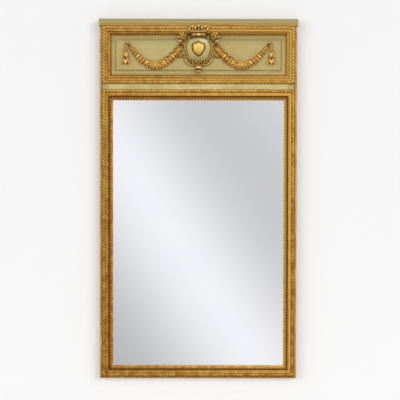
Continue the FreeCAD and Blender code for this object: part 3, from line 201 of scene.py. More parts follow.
aside = add_node(tree, "Math", [aside, above], operation="MAXIMUM")
aside = add_node(tree, "MapRange", [aside, SIDE_FROM, SIDE_TO], interpolation_type="SMOOTHSTEP")
seen = add_node(tree, "Mix", {0: aside, 6: band, 7: boxes}, 2, data_type="RGBA")
studio = add_node(tree, "Background", {"Color": seen})
even = add_node(tree, "Background", {"Color": "#FFFFFF", "Strength": AMBIENT_LEVEL})
pale = add_node(tree, "Background", {"Color": "#F4F3F3"})
path = add_node(tree, "LightPath").node.outputs
light = add_node(tree, "MixShader", [path["Is Glossy Ray"], even, studio])
light = add_node(tree, "MixShader", [path["Is Camera Ray"], light, pale])
add_node(tree, "OutputWorld", {"Surface": light})
bpy.context.scene.view_settings.view_transform = "Standard"

# The camera stands 5 m in front of the frame, at its middle height, and looks down by a degree and a half. A long
# lens fills the picture with the frame.
CAMERA_AIM = Vector((0.0077, -0.020, 0.8045))
CAMERA_DISTANCE = 5.0
CAMERA_LENS = 100.1
CAMERA_PITCH, CAMERA_YAW, CAMERA_ROLL = (math.radians(turn) for turn in (1.51, 0.14, 0.10))
look = Vector((math.sin(CAMERA_YAW) * math.cos(CAMERA_PITCH), math.cos(CAMERA_YAW) * math.cos(CAMERA_PITCH),
               -math.sin(CAMERA_PITCH)))
camera_data = bpy.data.cameras.new("camera")
camera_data.lens = CAMERA_LENS
camera = bpy.data.objects.new("camera", camera_data)
camera.location = CAMERA_AIM - look * CAMERA_DISTANCE
camera.rotation_euler = (look.to_track_quat("-Z", "Y") @ Quaternion((0, 0, 1), CAMERA_ROLL)).to_euler()
bpy.context.scene.collection.objects.link(camera)
bpy.context.scene.camera = camera


# The carcass: two stiles and three rails of pine, joined by pegged tenons. The front and the sides are painted in
# sage green distemper over a thin ground, which has mellowed, and the outer edge is gilded and rubbed.
# The back was never painted. It shows the pine with its grain and the dirt of its age.

SAGE = "#B49F62"
SAGE_LIGHT = "#BBB076"
SAGE_WARM = "#C69A58"
RAIL_LIGHT = "#D2CC8E"
RAIL_SAGE = "#BEAE6C"
GRIME_AND_SHADE = "#5A4620"
PINE = "#B08A5C"
PINE_DARK = "#8A6238"
PINE_GREY = "#8E7A60"
EDGE_GILT = "#C08D3A"
EDGE_GILT_LIGHT = "#E2B968"
QUIRK_TONING_AND_SHADE = "#6C4614"
# Sizes of the patterns, in millimetres along X, Y and Z. Pine's rings are about 2 mm wide, and a brush's streaks and
# specks of grime 1 mm. That is too fine to show, so they are drawn 4 mm, 6 mm and 2.4 mm wide.
GRAIN_UP = (4.17, 4.17, 400)
GRAIN_ACROSS = (400, 4.17, 4.17)
BRUSH_STREAK = (111, 16.7, 6.25)
RUBBED_STREAK = (16.7, 16.7, 71.4)
AGE_PATCH = 90.9
BLOOM_PATCH = 167
GRIME_SPECK = 2.38
BODY_HALF = 0.442
HOLLOW_WIDTH = 0.009
QUIRK_END = 0.013
HOLLOW_START = 0.0001
FOOT_SHADE = (0.013, 0.005)
BRUSH_RELIEF = 0.0003


def coat_where(tree, under, over, value, low, high, most=1.0):
    """Lays a colour over another: none of it where a value is at low, and most of it where the value is at high."""
    share = add_node(tree, "MapRange", [value, low, high, 0.0, most])
    return add_node(tree, "Mix", {0: share, 6: under, 7: over}, 2, data_type="RGBA")


def close_material(material, colour, roughness, height, height_step, metallic=0.0):
    """Ends a material with its shader, whose relief is height_step metres deep."""
    tree = material.node_tree
    bump = add_node(tree, "Bump", {"Height": height, "Distance": height_step, "Strength": 1.0})
    shader = add_node(tree, "BsdfPrincipled",
                      {"Base Color": colour, "Roughness": roughness, "Normal": bump, "Metallic": metallic})
    add_node(tree, "OutputMaterial", {"Surface": shader})
    return material


def sage_layers(tree, light=SAGE_LIGHT, sage=SAGE, worn=0.65):
    """Sage distemper brushed on over gesso: mottled by age, streaked along the brush, with dirt in its specks."""
    streak = mottle(tree, BRUSH_STREAK, 3.0)
    colour = coat_where(tree, light, sage, mottle(tree, AGE_PATCH, 5.0, Roughness=0.7), 0.36, 0.66)
    colour = coat_where(tree, colour, SAGE_WARM, streak, 0.48, 0.70, worn)
    return coat_where(tree, colour, GRIME_AND_SHADE, mottle(tree, GRIME_SPECK, 2.0), 0.60, 0.74, 0.45), streak


def pine_layers(tree, grain_size):
    """Bare pine: growth rings drawn out along the grain, darker late wood and a grey bloom of age."""
    grain = mottle(tree, grain_size, 5.0, Roughness=0.55, Distortion=0.15)
    colour = coat_where(tree, PINE, PINE_DARK, grain, 0.34, 0.72)
    return coat_where(tree, colour, PINE_GREY, mottle(tree, BLOOM_PATCH, 3.0), 0.45, 0.75, 0.6), grain


def bare_behind(tree, front, brush, grain_size):
    """Leaves the faces that look backwards as bare pine. Gives the colour, the relief and where the back is."""
    pine, grain = pine_layers(tree, grain_size)
    turn = add_node(tree, "SeparateXYZ", [add_node(tree, "NewGeometry", out="True Normal")], "Y")
    back = add_node(tree, "Math", [turn, 0.3], operation="GREATER_THAN")
    colour = add_node(tree, "Mix", {0: back, 6: front, 7: pine}, 2, data_type="RGBA")
    return colour, add_node(tree, "Mix", {0: back, 2: brush, 3: grain}, data_type="FLOAT"), back


def edge_strip(tree, inner, outer):
    """1 on the strip along the carcass's sides and foot between two distances in from its edge, and 0 elsewhere."""
    place = add_node(tree, "SeparateXYZ", [object_place(tree)]).node.outputs
    out = add_node(tree, "Math", [place["X"]], operation="ABSOLUTE")
    middle, half = (inner + outer) / 2, (outer - inner) / 2
    side = add_node(tree, "Math", [out, BODY_HALF - middle, half], operation="COMPARE")
    foot = add_node(tree, "Math", [place["Z"], middle, half], operation="COMPARE")
    return add_node(tree, "Math", [side, foot], operation="MAXIMUM")


def carcass_finish(name, grain_size, *paint):
    """Distemper in front and on the sides, worn gilding in the outer cove, painted shade at its foot, toning and
    painted shade in the quirk, bare pine behind.
    """
    material, tree = new_material(name)
    sage, brush = sage_layers(tree, *paint)
    edge = edge_strip(tree, HOLLOW_START, HOLLOW_WIDTH)
    up = add_node(tree, "SeparateXYZ", [object_place(tree)], "Z")
    gilt = coat_where(tree, EDGE_GILT, EDGE_GILT_LIGHT, mottle(tree, RUBBED_STREAK, 5.0), 0.42, 0.68)
    # Painted shade: the gilt darkens towards the carcass's foot, and the quirk beside the rope is painted dark as
    # toning and shade.
    gilt = coat_where(tree, gilt, QUIRK_TONING_AND_SHADE, up, *FOOT_SHADE, 0.42)
    front = coat_where(tree, sage, QUIRK_TONING_AND_SHADE, edge_strip(tree, HOLLOW_WIDTH, QUIRK_END), 0.0, 1.0)
    front = coat_where(tree, front, gilt, edge, 0.0, 1.0)
    colour, relief, back = bare_behind(tree, front, brush, grain_size)
    metal = add_node(tree, "Math", [edge, back], operation="SUBTRACT", use_clamp=True)
    metal = add_node(tree, "Math", [metal, 0.3], operation="MULTIPLY")
    return close_material(material, colour, 0.5, relief, BRUSH_RELIEF, metal)


def dress_nodes(material, slot, *nodes):
    """Gives solids of the frame their finish."""
    for node in nodes:
        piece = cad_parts[node]
        piece.data.materials.clear()
        piece.data.materials.append(material)


# Distempered pine: matt, chalky and mottled. The rails were touched up later, and are paler.
stile_finish = carcass_finish("distempered_pine_upright", GRAIN_UP)
rail_finish = carcass_finish("distempered_pine_crosswise", GRAIN_ACROSS, RAIL_LIGHT, RAIL_SAGE, 0.5)
dress_nodes(stile_finish, "painted_wood", "stile_left", "stile_right")
dress_nodes(rail_finish, "painted_wood", "rail_bottom", "rail_middle", "rail_top")


# The cap: a moulded pine board nailed over the top rail. Its paint is dusty and pale at the top edge, and lower down
# it has worn through to the old gilding, most of all in the cove, with painted shade at its foot over the rope.

CAP_WEAR_AND_SHADE_TONES = (
    # share of the cap's height, and the colour there; the dark brown at the foot is painted shade over the rope
    (0.0, "#5E3C10"), (0.10, "#9A6A28"), (0.20, "#D0A04A"), (0.42, "#AC9252"), (0.72, "#A09363"), (1.0, "#968D6E"),
)
CAP_TONE_SHARE = 0.75
CAP_RAGGED = (143, 16.67, 16.67)  # millimetres along X, Y and Z
CAP_UNEVEN = 0.6  # share of the cap's height
cap_low, cap_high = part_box("top_cap")
# Worn distemper: dull, with brown gold showing through along ragged levels, and painted shade at its foot.
material, tree = new_material("distempered_pine_cap")
sage, brush = sage_layers(tree)
up = add_node(tree, "SeparateXYZ", [object_place(tree)], "Z")
height = add_node(tree, "MapRange", [up, cap_low.z, cap_high.z], clamp=False)
uneven = add_node(tree, "Math", [mottle(tree, CAP_RAGGED, 4.0), CAP_UNEVEN, height], operation="MULTIPLY_ADD")
level = add_node(tree, "Math", [uneven, CAP_UNEVEN / 2], operation="SUBTRACT")
colour = add_node(tree, "Mix", {0: CAP_TONE_SHARE, 6: sage, 7: tones_along(tree, level, CAP_WEAR_AND_SHADE_TONES)}, 2, data_type="RGBA")
dress_nodes(close_material(material, colour, 0.6, brush, BRUSH_RELIEF), "painted_wood", "top_cap")


# The fielded panel: one wide pine board whose bevelled edges sit in a groove all round. It is painted like the
# carcass. Grime and painted shade lie in the step round the raised field, and painted shade against the moulding.

panel_low, panel_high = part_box("fielded_panel")
PANEL_MIDDLE = (panel_low.z + panel_high.z) / 2
FIELD_HALF = 0.370
FIELD_TALL = 0.068
STEP_SHADE_AND_GRIME = 0.0065
CORNER_SHADE_REACH = 0.009
STEP_MARK_PATCH = 41.7  # millimetres
TOP_DIRT_AND_SHADE_BELOW = 0.030
TOP_DIRT_AND_SHADE_ABOVE = 0.015
STEP_SHADE_AND_DIRT = "#867A48"
DARKENED_SAGE = "#94804A"
# Distemper as on the carcass, darker towards the top with dirt and painted shade under the moulding.
material, tree = new_material("distempered_pine_panel")
sage, brush = sage_layers(tree)
centred = add_node(tree, "VectorMath", [object_place(tree), (0, 0, PANEL_MIDDLE)], operation="SUBTRACT")
place = add_node(tree, "SeparateXYZ", [centred]).node.outputs
past = []
for axis, half in (("X", FIELD_HALF), ("Z", FIELD_TALL)):
    out = add_node(tree, "Math", [place[axis]], operation="ABSOLUTE")
    past.append(add_node(tree, "Math", [out, half], operation="SUBTRACT"))
beyond = add_node(tree, "Math", past, operation="MAXIMUM")
near = add_node(tree, "Math", [beyond], operation="ABSOLUTE")
# The step round the raised field: a line of grime and painted shade.
step_shade_and_grime = add_node(tree, "MapRange", [near, STEP_SHADE_AND_GRIME, 0.0010, 0.0, 0.7], interpolation_type="SMOOTHSTEP")
patchy = add_node(tree, "MapRange", [mottle(tree, STEP_MARK_PATCH, 3.0), 0.3, 0.6, 0.45])
step_shade_and_grime = add_node(tree, "Math", [step_shade_and_grime, patchy], operation="MULTIPLY")
colour = add_node(tree, "Mix", {0: step_shade_and_grime, 6: sage, 7: STEP_SHADE_AND_DIRT}, 2, data_type="RGBA")
# Painted shade in the corners, where the mouldings and the carvings stand over the panel.
shut_in = add_node(tree, "AmbientOcclusion", {"Distance": CORNER_SHADE_REACH}, "AO", samples=8)
colour = coat_where(tree, colour, GRIME_AND_SHADE, shut_in, 0.85, 0.40, 0.9)
colour = coat_where(tree, colour, DARKENED_SAGE, place["Z"], FIELD_TALL - TOP_DIRT_AND_SHADE_BELOW, FIELD_TALL + TOP_DIRT_AND_SHADE_ABOVE, 0.62)
colour, relief, _ = bare_behind(tree, colour, brush, GRAIN_ACROSS)
dress_nodes(close_material(material, colour, 0.55, relief, BRUSH_RELIEF), "painted_wood", "fielded_panel")


# The carved mouldings: pine lengths with a coat of gesso, red bole and burnished gold leaf, mitred at the corners.
# The leaf has rubbed through to the bole on the edges, and dark toning and painted shade lie in every recess. Painted
# light makes the gold paler towards the top.

GOLD_BRIGHT = "#FCC961"
GOLD_BROWN = "#A4661A"
GOLD_CREST_HIGHLIGHT = "#FFE488"
BOLE = "#96521A"
TONING_AND_SHADE = "#3E2004"
# Patches and specks of wear in the leaf, in millimetres. Real specks are under 1 mm wide, too fine to show, and are
# drawn 4 mm wide.
LEAF_PATCH = 27.8
LEAF_SPECK = 3.85
SHARP_EDGE = math.radians(38)
SIDE_TURNS = {"bottom": 0, "top": 180, "left": 90, "right": -90}
CARCASS_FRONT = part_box("stile_left")[0].y
WELD = 0.00002


def gilding(name, bright, body, leaf, pale=GOLD_BRIGHT, rub=0.5, reach=0.003, open_share=0.62, crest_highlight=0.0, under=0.0,
            side_shade=0.0, lit_from_right=0.0, lit_from_above=0.5, span=(0.5, 1.55)):
    """Water gilding on red bole, rubbed thin in places: painted highlights and light, toning and painted shade in
    recesses.
    """
    material, tree = new_material(name)
    place = add_node(tree, "SeparateXYZ", [object_place(tree)]).node.outputs
    fine = mottle(tree, LEAF_SPECK, 3.0)
    light = add_node(tree, "MapRange", [mottle(tree, LEAF_PATCH, 5.0, Roughness=0.65), 0.40, 0.64, 0.0, bright])
    # Painted light: the gold is paler towards the right and towards the top.
    for value, low, high, most in ((place["X"], -BODY_HALF, BODY_HALF, lit_from_right), (place["Z"], *span, lit_from_above)):
        lit_ramp = add_node(tree, "MapRange", [value, low, high, 0.0, most])
        light = add_node(tree, "Math", [light, lit_ramp], operation="ADD")
    colour = coat_where(tree, body, pale, light, 0.0, 1.0)
    colour = coat_where(tree, colour, BOLE, fine, 0.58, 0.74, rub)
    shut_in = add_node(tree, "AmbientOcclusion", {"Distance": reach}, "AO", samples=8)
    # A painted highlight on the open crests.
    colour = coat_where(tree, colour, GOLD_CREST_HIGHLIGHT, shut_in, 0.86, 1.0, crest_highlight)
    # Painted shade in hollows and between parts, on faces that look down (under) and on steep sides, over the toning in
    # the carving's recesses.
    facing = add_node(tree, "SeparateXYZ", [add_node(tree, "NewGeometry", out="Normal")]).node.outputs
    shade_and_toning = add_node(tree, "Attribute", out="Fac", attribute_name="recess")
    for value, low, high, most in ((shut_in, open_share, open_share - 0.30, 1.0), (facing["Z"], -0.15, -0.8, under),
                                   (facing["Y"], -0.55, -0.10, side_shade)):
        toned = add_node(tree, "MapRange", [value, low, high, 0.0, most])
        shade_and_toning = add_node(tree, "Math", [shade_and_toning, toned], operation="MAXIMUM", use_clamp=True)
    colour = coat_where(tree, colour, GOLD_BROWN, shade_and_toning, 0.1, 0.6)
    colour = coat_where(tree, colour, TONING_AND_SHADE, shade_and_toning, 0.45, 1.0, 0.95)
    roughness = add_node(tree, "MapRange", [shade_and_toning, 0.0, 1.0, 0.34, 0.75])
    metal = add_node(tree, "MapRange", [shade_and_toning, 0.0, 1.0, leaf, 0.0])
    return close_material(material, colour, roughness, fine, 0.2 * MM, metal)


class Shape:
    """Points, faces and how deep each point lies in the carving, from 0 on its ridges to 1 in its hollows."""

    def __init__(self, points, faces, recess=None):
        self.points = np.asarray(points, float)
        self.faces = faces
        self.recess = np.zeros(len(self.points)) if recess is None else np.asarray(recess, float)

    def moved(self, matrix):
        turned = self.points @ np.array(matrix.to_3x3()).T + np.array(matrix.to_translation())
        return Shape(turned, self.faces, self.recess)

    def mirrored(self):
        return Shape(self.points * (-1, 1, 1), [face[::-1] for face in self.faces], self.recess)


def skin(rings, recess=None, capped=True):
    """A surface over rings that have the same number of points, closed at both ends unless it will be repeated."""
    count = len(rings[0])
    last = (len(rings) - 1) * count
    faces = [(i + j, i + count + j, i + count + (j + 1) % count, i + (j + 1) % count)
             for i in range(0, last, count) for j in range(count)]
    if capped:
        faces += [tuple(range(count)), tuple(range(last, last + count))[::-1]]
    points = np.concatenate([np.asarray(ring, float) for ring in rings])
    return Shape(points, faces, None if recess is None else np.concatenate(recess))


def new_piece(name, shape):
    mesh = bpy.data.meshes.new(name)
    mesh.from_pydata(shape.points.tolist(), [], shape.faces)
    mesh.attributes.new("recess", "FLOAT", "POINT").data.foreach_set("value", shape.recess.astype(np.float32))
    piece = bpy.data.objects.new(name, mesh)
    bpy.context.scene.collection.objects.link(piece)
    return piece


@contextlib.contextmanager
def edited(mesh):
    """Opens a mesh for editing, and writes it back."""
    work = bmesh.new()
    work.from_mesh(mesh)
    yield work
    work.to_mesh(mesh)
    work.free()


def finish_piece(piece, material, node, body="root"):
    """Turns the faces outwards, smooths what isn't an edge, gives a piece its finish and its body, and hides the solid
    it replaces.
    """
    mesh = piece.data
    with edited(mesh) as work:
        bmesh.ops.recalc_face_normals(work, faces=work.faces)
    mesh.materials.clear()
    mesh.materials.append(material)
    mesh.polygons.foreach_set("material_index", [0] * len(mesh.polygons))
    mesh.polygons.foreach_set("use_smooth", [True] * len(mesh.polygons))
    mesh.set_sharp_from_angle(angle=SHARP_EDGE)
    mesh.update()
    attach(piece, body)
    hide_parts(node)


# A tree that sets one carved unit on every place, turned and sized by that place's own attributes.
units = bpy.data.node_groups.new("carved_units", "GeometryNodeTree")
for name, kind in (("Places", "Geometry"), ("Unit", "Object"), ("Join Distance", "Float"), ("Finish", "Material")):
    units.interface.new_socket(name, in_out="INPUT", socket_type="NodeSocket" + kind)
units.interface.new_socket("Carving", in_out="OUTPUT", socket_type="NodeSocketGeometry")
start = add_node(units, "NodeGroupInput").node.outputs
unit = add_node(units, "GeometryNodeObjectInfo", {"Object": start["Unit"]}, "Geometry")
turn, grow = (add_node(units, "GeometryNodeInputNamedAttribute", {"Name": name}, "Attribute", data_type="FLOAT_VECTOR")
              for name in ("turn", "grow"))
turned = add_node(units, "FunctionNodeEulerToRotation", [turn])
set_out = add_node(units, "GeometryNodeInstanceOnPoints",
                   {"Points": start["Places"], "Instance": unit, "Rotation": turned, "Scale": grow})
real = add_node(units, "GeometryNodeRealizeInstances", [set_out])
merged = add_node(units, "GeometryNodeMergeByDistance", {"Geometry": real, "Distance": start["Join Distance"]})
coated = add_node(units, "GeometryNodeSetMaterial", {"Geometry": merged, "Material": start["Finish"]})
add_node(units, "NodeGroupOutput", [coated])
UNIT_SOCKETS = {item.name: item.identifier for item in units.interface.items_tree if item.in_out == "INPUT"}


def set_units(name, unit_shape, places, material, join_distance=0.0):
    """One mesh with the unit on every place, each a point, a turn and a size."""
    unit = new_piece(name + "_unit", unit_shape)
    mesh = bpy.data.meshes.new(name)
    mesh.from_pydata([tuple(point) for point, _, _ in places], [], [])
    for key, index in (("turn", 1), ("grow", 2)):
        values = np.array([tuple(place[index]) for place in places], np.float32).ravel()
        mesh.attributes.new(key, "FLOAT_VECTOR", "POINT").data.foreach_set("vector", values)
    piece = bpy.data.objects.new(name, mesh)
    bpy.context.scene.collection.objects.link(piece)
    modifier = piece.modifiers.new("carved_units", "NODES")
    modifier.node_group = units
    for key, value in (("Unit", unit), ("Join Distance", join_distance), ("Finish", material)):
        modifier[UNIT_SOCKETS[key]] = value
    graph = bpy.context.evaluated_depsgraph_get()
    carved = bpy.data.meshes.new_from_object(piece.evaluated_get(graph), preserve_all_data_layers=True, depsgraph=graph)
    piece.modifiers.clear()
    piece.data = carved
    bpy.data.objects.remove(unit)
    return piece


def cut_mitres(piece, length):
    """Cuts both ends at 45 degrees and closes them."""
    with edited(piece.data) as work:
        for way in (-1, 1):
            everything = work.verts[:] + work.edges[:] + work.faces[:]
            cut = bmesh.ops.bisect_plane(work, geom=everything, plane_co=(way * length / 2, 0, 0),
                                         plane_no=(way, 0, 1), clear_outer=True)
            rim = [item for item in cut["geom_cut"] if isinstance(item, bmesh.types.BMEdge)]
            bmesh.ops.holes_fill(work, edges=rim)


def carve_border(border, moulding, carving, unit_shape, pitch, material):
    """Repeats a carved unit along each side of a border, a whole number of times between its mitres.
    The unit is drawn along X, inwards along Z and outwards along -Y."""
    for side, turn in SIDE_TURNS.items():
        node = "_".join((border, moulding, side))
        low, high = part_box(node)
        middle = (low + high) / 2
        upright = side in ("left", "right")
        length = high.z - low.z if upright else high.x - low.x
        level = {"bottom": low.z, "top": high.z, "left": low.x, "right": high.x}[side]
        spot = (level, CARCASS_FRONT, middle.z) if upright else (middle.x, CARCASS_FRONT, level)
        count = max(round(length / pitch), 1)
        step = length / count
        places = [((step * (i - 1) - length / 2, 0, 0), (0, 0, 0), (step / pitch, 1, 1)) for i in range(count + 2)]
        piece = set_units("_".join((border, carving, side)), unit_shape, places, material, WELD)
        cut_mitres(piece, length)
        piece.data.transform(Matrix.Translation(spot) @ Matrix.Rotation(math.radians(turn), 4, "Y"))
        finish_piece(piece, material, node)


# The rope: a half round with a strand that winds round it, one turn to each 14 mm. Carved in pine lengths, gilded,
# and glued to the carcass beside the sight moulding.
ROPE_PITCH = 0.014
ROPE_WIDTH = 0.015
ROPE_BASE = 0.0025
ROPE_LEDGE = 0.002
ROPE_GROOVE_SHARE = 0.30
ROPE_LEAN_SHARE = 0.95
ROPE_STEPS = 12


def rope_unit():
    """One turn of the strand. Its two ends match, so that turns join without a seam."""
    rings, recess = [], []
    radius = ROPE_WIDTH / 2
    for i in range(ROPE_STEPS + 1):
        along = i / ROPE_STEPS
        lobe = abs(math.sin(math.pi * along)) ** 0.65
        reach = radius * (1 - ROPE_GROOVE_SHARE * (1 - lobe))
        start, end = along * ROPE_PITCH, (along + ROPE_LEAN_SHARE) * ROPE_PITCH
        ring, deep = [(start, 0, 0), (start, -ROPE_LEDGE, 0)], [1.0, 1.0]
        for j in range(ROPE_STEPS + 1):
            turn = math.pi * j / ROPE_STEPS
            ring.append(((along + ROPE_LEAN_SHARE * j / ROPE_STEPS) * ROPE_PITCH,
                         -(ROPE_BASE + reach * math.sin(turn)), radius - reach * math.cos(turn)))
            deep.append(max((1 - lobe) ** 1.2, (1 - math.sin(turn)) ** 1.4))
        rings.append(ring + [(end, -ROPE_LEDGE, ROPE_WIDTH), (end, 0, ROPE_WIDTH)])
        recess.append(deep + [1.0, 1.0])
    return skin(rings, recess, capped=False)


# Burnished water gilding: glints on each strand, red brown toning and painted shade between them, and painted light
# towards the top.
rope_gold = gilding("water_gilt_rope", 0.95, "#B87816", 0.76)
rope_shape = rope_unit()
for border in ("mirror", "panel"):
    carve_border(border, "rope", "twisted_rope", rope_shape, ROPE_PITCH, rope_gold)

# The sight mouldings: a flat band, a ridge and a quirk, then leaf tips on the slope to a plain lip. The tips point
# away from the glass, and towards the panel. Pine lengths, gilded, that hold the glass and the panel in their rebates.
LEAF_PITCH = 0.013
BAND_FRONT = 5.0
RIDGE_FRONT = 7.5
RIDGE_WIDTH = 3.6
RIDGE_SLANT = 0.6
QUIRK_FRONT = 3.5
QUIRK_WIDTH = 3.0
SLOPE_BULGE = 1.2
LEAF_GOUGE = 3.2
LEAF_TONING = 0.30
LEAF_STEPS = 14
LEAF_TIP_SHARE = 0.90
LEAF_WIDEST_SHARE = 0.36
LIP = 1.2
SIGHTS = (
    # border, flat width, leaf width, how far the lip lies back and how far it overhangs, in millimetres, and whether
    # the leaf tips point outwards
    ("mirror", 16.5, 16.5, 9.7, 15.7, True),
    ("panel", 13.0, 13.0, 7.8, 9.7, False),
)


def leaf_half(run):
    """Half the width of a leaf tip, as a share of the pitch, at a share of the way to its point."""
    towards = (run - LEAF_WIDEST_SHARE) / (LEAF_TIP_SHARE - LEAF_WIDEST_SHARE)
    return 0.5 * (1 - min(max(towards, 0.0), 1.0) ** 1.4) ** 0.7


def sight_unit(flat, leaf, drop, overhang, outward):
    """One leaf with half a gap on either side. Lengths in millimetres."""
    width = flat + leaf
    ridge_end = flat - QUIRK_WIDTH
    ridge_start = ridge_end - RIDGE_WIDTH
    rings, recess = [], []
    for i in range(LEAF_STEPS + 1):
        across = i / LEAF_STEPS - 0.5
        ring = [(0, 0, 0.9), (0, BAND_FRONT, 0.5), (ridge_start * 0.5, BAND_FRONT, 0.0),
                (ridge_start, BAND_FRONT, 0.6), (ridge_start + RIDGE_SLANT, RIDGE_FRONT, 0.0),
                (ridge_end - RIDGE_SLANT, RIDGE_FRONT, 0.0), (ridge_end, QUIRK_FRONT, 1.0), (flat, QUIRK_FRONT, 1.0)]
        for j in range(LEAF_STEPS + 1):
            down = j / LEAF_STEPS
            run = 1 - down if outward else down
            gap = min(max((abs(across) - leaf_half(run)) / 0.09, 0.0), 1.0)
            gap *= min(down / 0.12, 1.0) * min(max((0.92 - down) / 0.06, 0.0), 1.0)
            rib = math.exp(-(across / 0.07) ** 2) * 0.45 * min(run * 5, 1.0)
            front = RIDGE_FRONT + (LIP - drop - RIDGE_FRONT) * down + SLOPE_BULGE * math.sin(math.tau * down)
            front -= LEAF_GOUGE * gap + rib * (1 - gap)
            ring.append((flat + leaf * down, front, min(gap + 0.4 * rib + LEAF_TONING * (0.3 + 0.7 * run), 1.0)))
        ring += [(width, -drop, 0.8), (width - overhang, -drop, 0.9), (width - overhang, 0, 0.9)]
        rings.append([((across + 0.5) * LEAF_PITCH, -front * MM, inward * MM) for inward, front, _ in ring])
        recess.append([deep for _, _, deep in ring])
    return skin(rings, recess, capped=False)


# The same gilding, more worn: brown gold with painted light that pales it to the right and towards the top, and painted
# shade on faces that look down.
sight_gold = gilding("water_gilt_leaf_tips", 0.65, "#A96C14", 0.72, under=0.45, lit_from_right=0.7, lit_from_above=0.35)
for border, *sizes in SIGHTS:
    carve_border(border, "sight", "leaf_sight", sight_unit(*sizes), LEAF_PITCH, sight_gold)


# The mirror plate: 4 mm float glass, silvered behind and sealed with paint. It shows the room with little loss,
# very slightly grey, and a little dust lies on its surface.

HAZE_CLOUD = 250  # millimetres
# Silvered glass: a cold clear mirror, its gloss softened by clouds of dust.
material, tree = new_material("silvered_glass")
haze = mottle(tree, HAZE_CLOUD, 3.0)
dust = add_node(tree, "MapRange", [haze, 0.0, 1.0, 0.015, 0.035])
tint = add_node(tree, "Mix", {0: haze, 6: "#F7F8FC", 7: "#F4F5FA"}, 2, data_type="RGBA")
silver = add_node(tree, "BsdfPrincipled", {"Base Color": tint, "Metallic": 1.0, "Roughness": dust})
add_node(tree, "OutputMaterial", {"Surface": silver})
dress_nodes(material, "silvered_glass", "mirror_glass")


# The back: four thin pine planks nailed over the mirror plate, glue blocks that hold the plate, and the pegs of the
# joints. All are bare, and have gone brown. The nails are cut iron, with a skin of rust.

IRON = "#3A3532"
RUST = "#6B4226"
# Sizes in millimetres. Flat sawn planks show rings about 11 mm wide. Pits of rust are 1 mm wide, and are drawn 2.6 mm.
PLANK_GRAIN = (11.1, 11.1, 250)
BLOCK_GRAIN = 8.33
PIT = 2.63


def bare_wood(name, grain_size):
    """Sawn pine with no finish: dry, dull and ridged by its grain."""
    material, tree = new_material(name)
    colour, grain = pine_layers(tree, grain_size)
    return close_material(material, colour, 0.75, grain, 0.4 * MM)


plank = bare_wood("bare_pine_upright", PLANK_GRAIN)
offcut = bare_wood("bare_pine_blocks", BLOCK_GRAIN)
# Wrought iron with a dull skin: nearly black, with rust in its pits.
material, tree = new_material("wrought_iron")
pit = mottle(tree, PIT, 4.0)
rusty = add_node(tree, "MapRange", [pit, 0.5, 0.65])
colour = coat_where(tree, IRON, RUST, rusty, 0.0, 1.0)
metal = add_node(tree, "MapRange", [rusty, 0.0, 1.0, 0.9, 0.2])
rough = add_node(tree, "MapRange", [rusty, 0.0, 1.0, 0.45, 0.85])
iron = close_material(material, colour, rough, pit, 0.2 * MM, metal)
dress_nodes(plank, "bare_wood", *("back_board_%d" % i for i in range(1, 5)))
dress_nodes(offcut, "bare_wood", "glass_wedges", "joint_pegs")
dress_nodes(iron, "iron", "board_nails", "hanger_screws", "hanger_strap_left", "hanger_strap_right")


# The hanging rings: zinc-coated steel wire bent to a D. Its ends are butted inside the strap's eye, in which the ring
# swings on its straight side.

RING_WIRE = 0.00195
RING_HALF_WIDTH = 0.012
RING_CORNER = 0.004
RING_SIDE = 0.008
RING_AXIS_Z = 1.414
RING_AXIS_Y = 0.0038
RING_BEND_STEPS = 6
RING_ARC_STEPS = 20
WIRE_SIDES = 14
RING_WELD = 0.00001
SPANGLE = 2.0
# Zinc on steel wire: a soft grey sheen, broken into small spangles.
material, tree = new_material("zinc_coated_steel_wire")
spangle = add_node(tree, "TexVoronoi", {"Vector": object_place(tree), "Scale": 1 / (SPANGLE * MM)})
colour = add_node(tree, "Mix", {0: spangle, 6: "#8E8C86", 7: "#77756F"}, 2, data_type="RGBA")
ring_finish = close_material(material, colour, 0.42, spangle, 0.1 * MM, 1.0)


def arc(x, z, radius, start, end, steps):
    """Points on an arc between two angles in degrees, both ends included."""
    turns = [math.radians(start + (end - start) * i / steps) for i in range(steps + 1)]
    return [(x + radius * math.cos(turn), z + radius * math.sin(turn)) for turn in turns]


def wire_ring():
    """The wire round its middle line: the straight side, a corner, the bow and the other corner."""
    inset = RING_HALF_WIDTH - RING_CORNER
    path = [(0.0, 0.0)] + arc(inset, -RING_CORNER, RING_CORNER, 90, 0, RING_BEND_STEPS) \
        + arc(0, -RING_SIDE, RING_HALF_WIDTH, 0, -180, RING_ARC_STEPS) \
        + arc(-inset, -RING_CORNER, RING_CORNER, 180, 90, RING_BEND_STEPS)
    rings = []
    for i, (x, z) in enumerate(path + path[:1]):
        before = path[i - 1] if i else path[-1]
        after = path[(i + 1) % len(path)]
        along = Vector((after[0] - before[0], 0, after[1] - before[1])).normalized()
        across = Vector((along.z, 0, -along.x))
        rings.append([Vector((x, y, z)) + across * out for out, y in arc(0, 0, RING_WIRE, 0, 360, WIRE_SIDES)[:-1]])
    return skin(rings, capped=False)


for word in ("left", "right"):
    node = "hanger_ring_" + word
    low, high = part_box(node)
    spot = Matrix.Translation(((low.x + high.x) / 2, RING_AXIS_Y, RING_AXIS_Z))
    ring = new_piece("wire_ring_" + word, wire_ring().moved(spot))
    with edited(ring.data) as work:
        bmesh.ops.remove_doubles(work, verts=work.verts, dist=RING_WELD)
    finish_piece(ring, ring_finish, node, body=node)


# The cartouche: lime wood, carved and fixed to the panel. A painted oval plate carries a gilded shield, between
# leafy scrolls. A pale painted highlight lies on its paint over the shield.

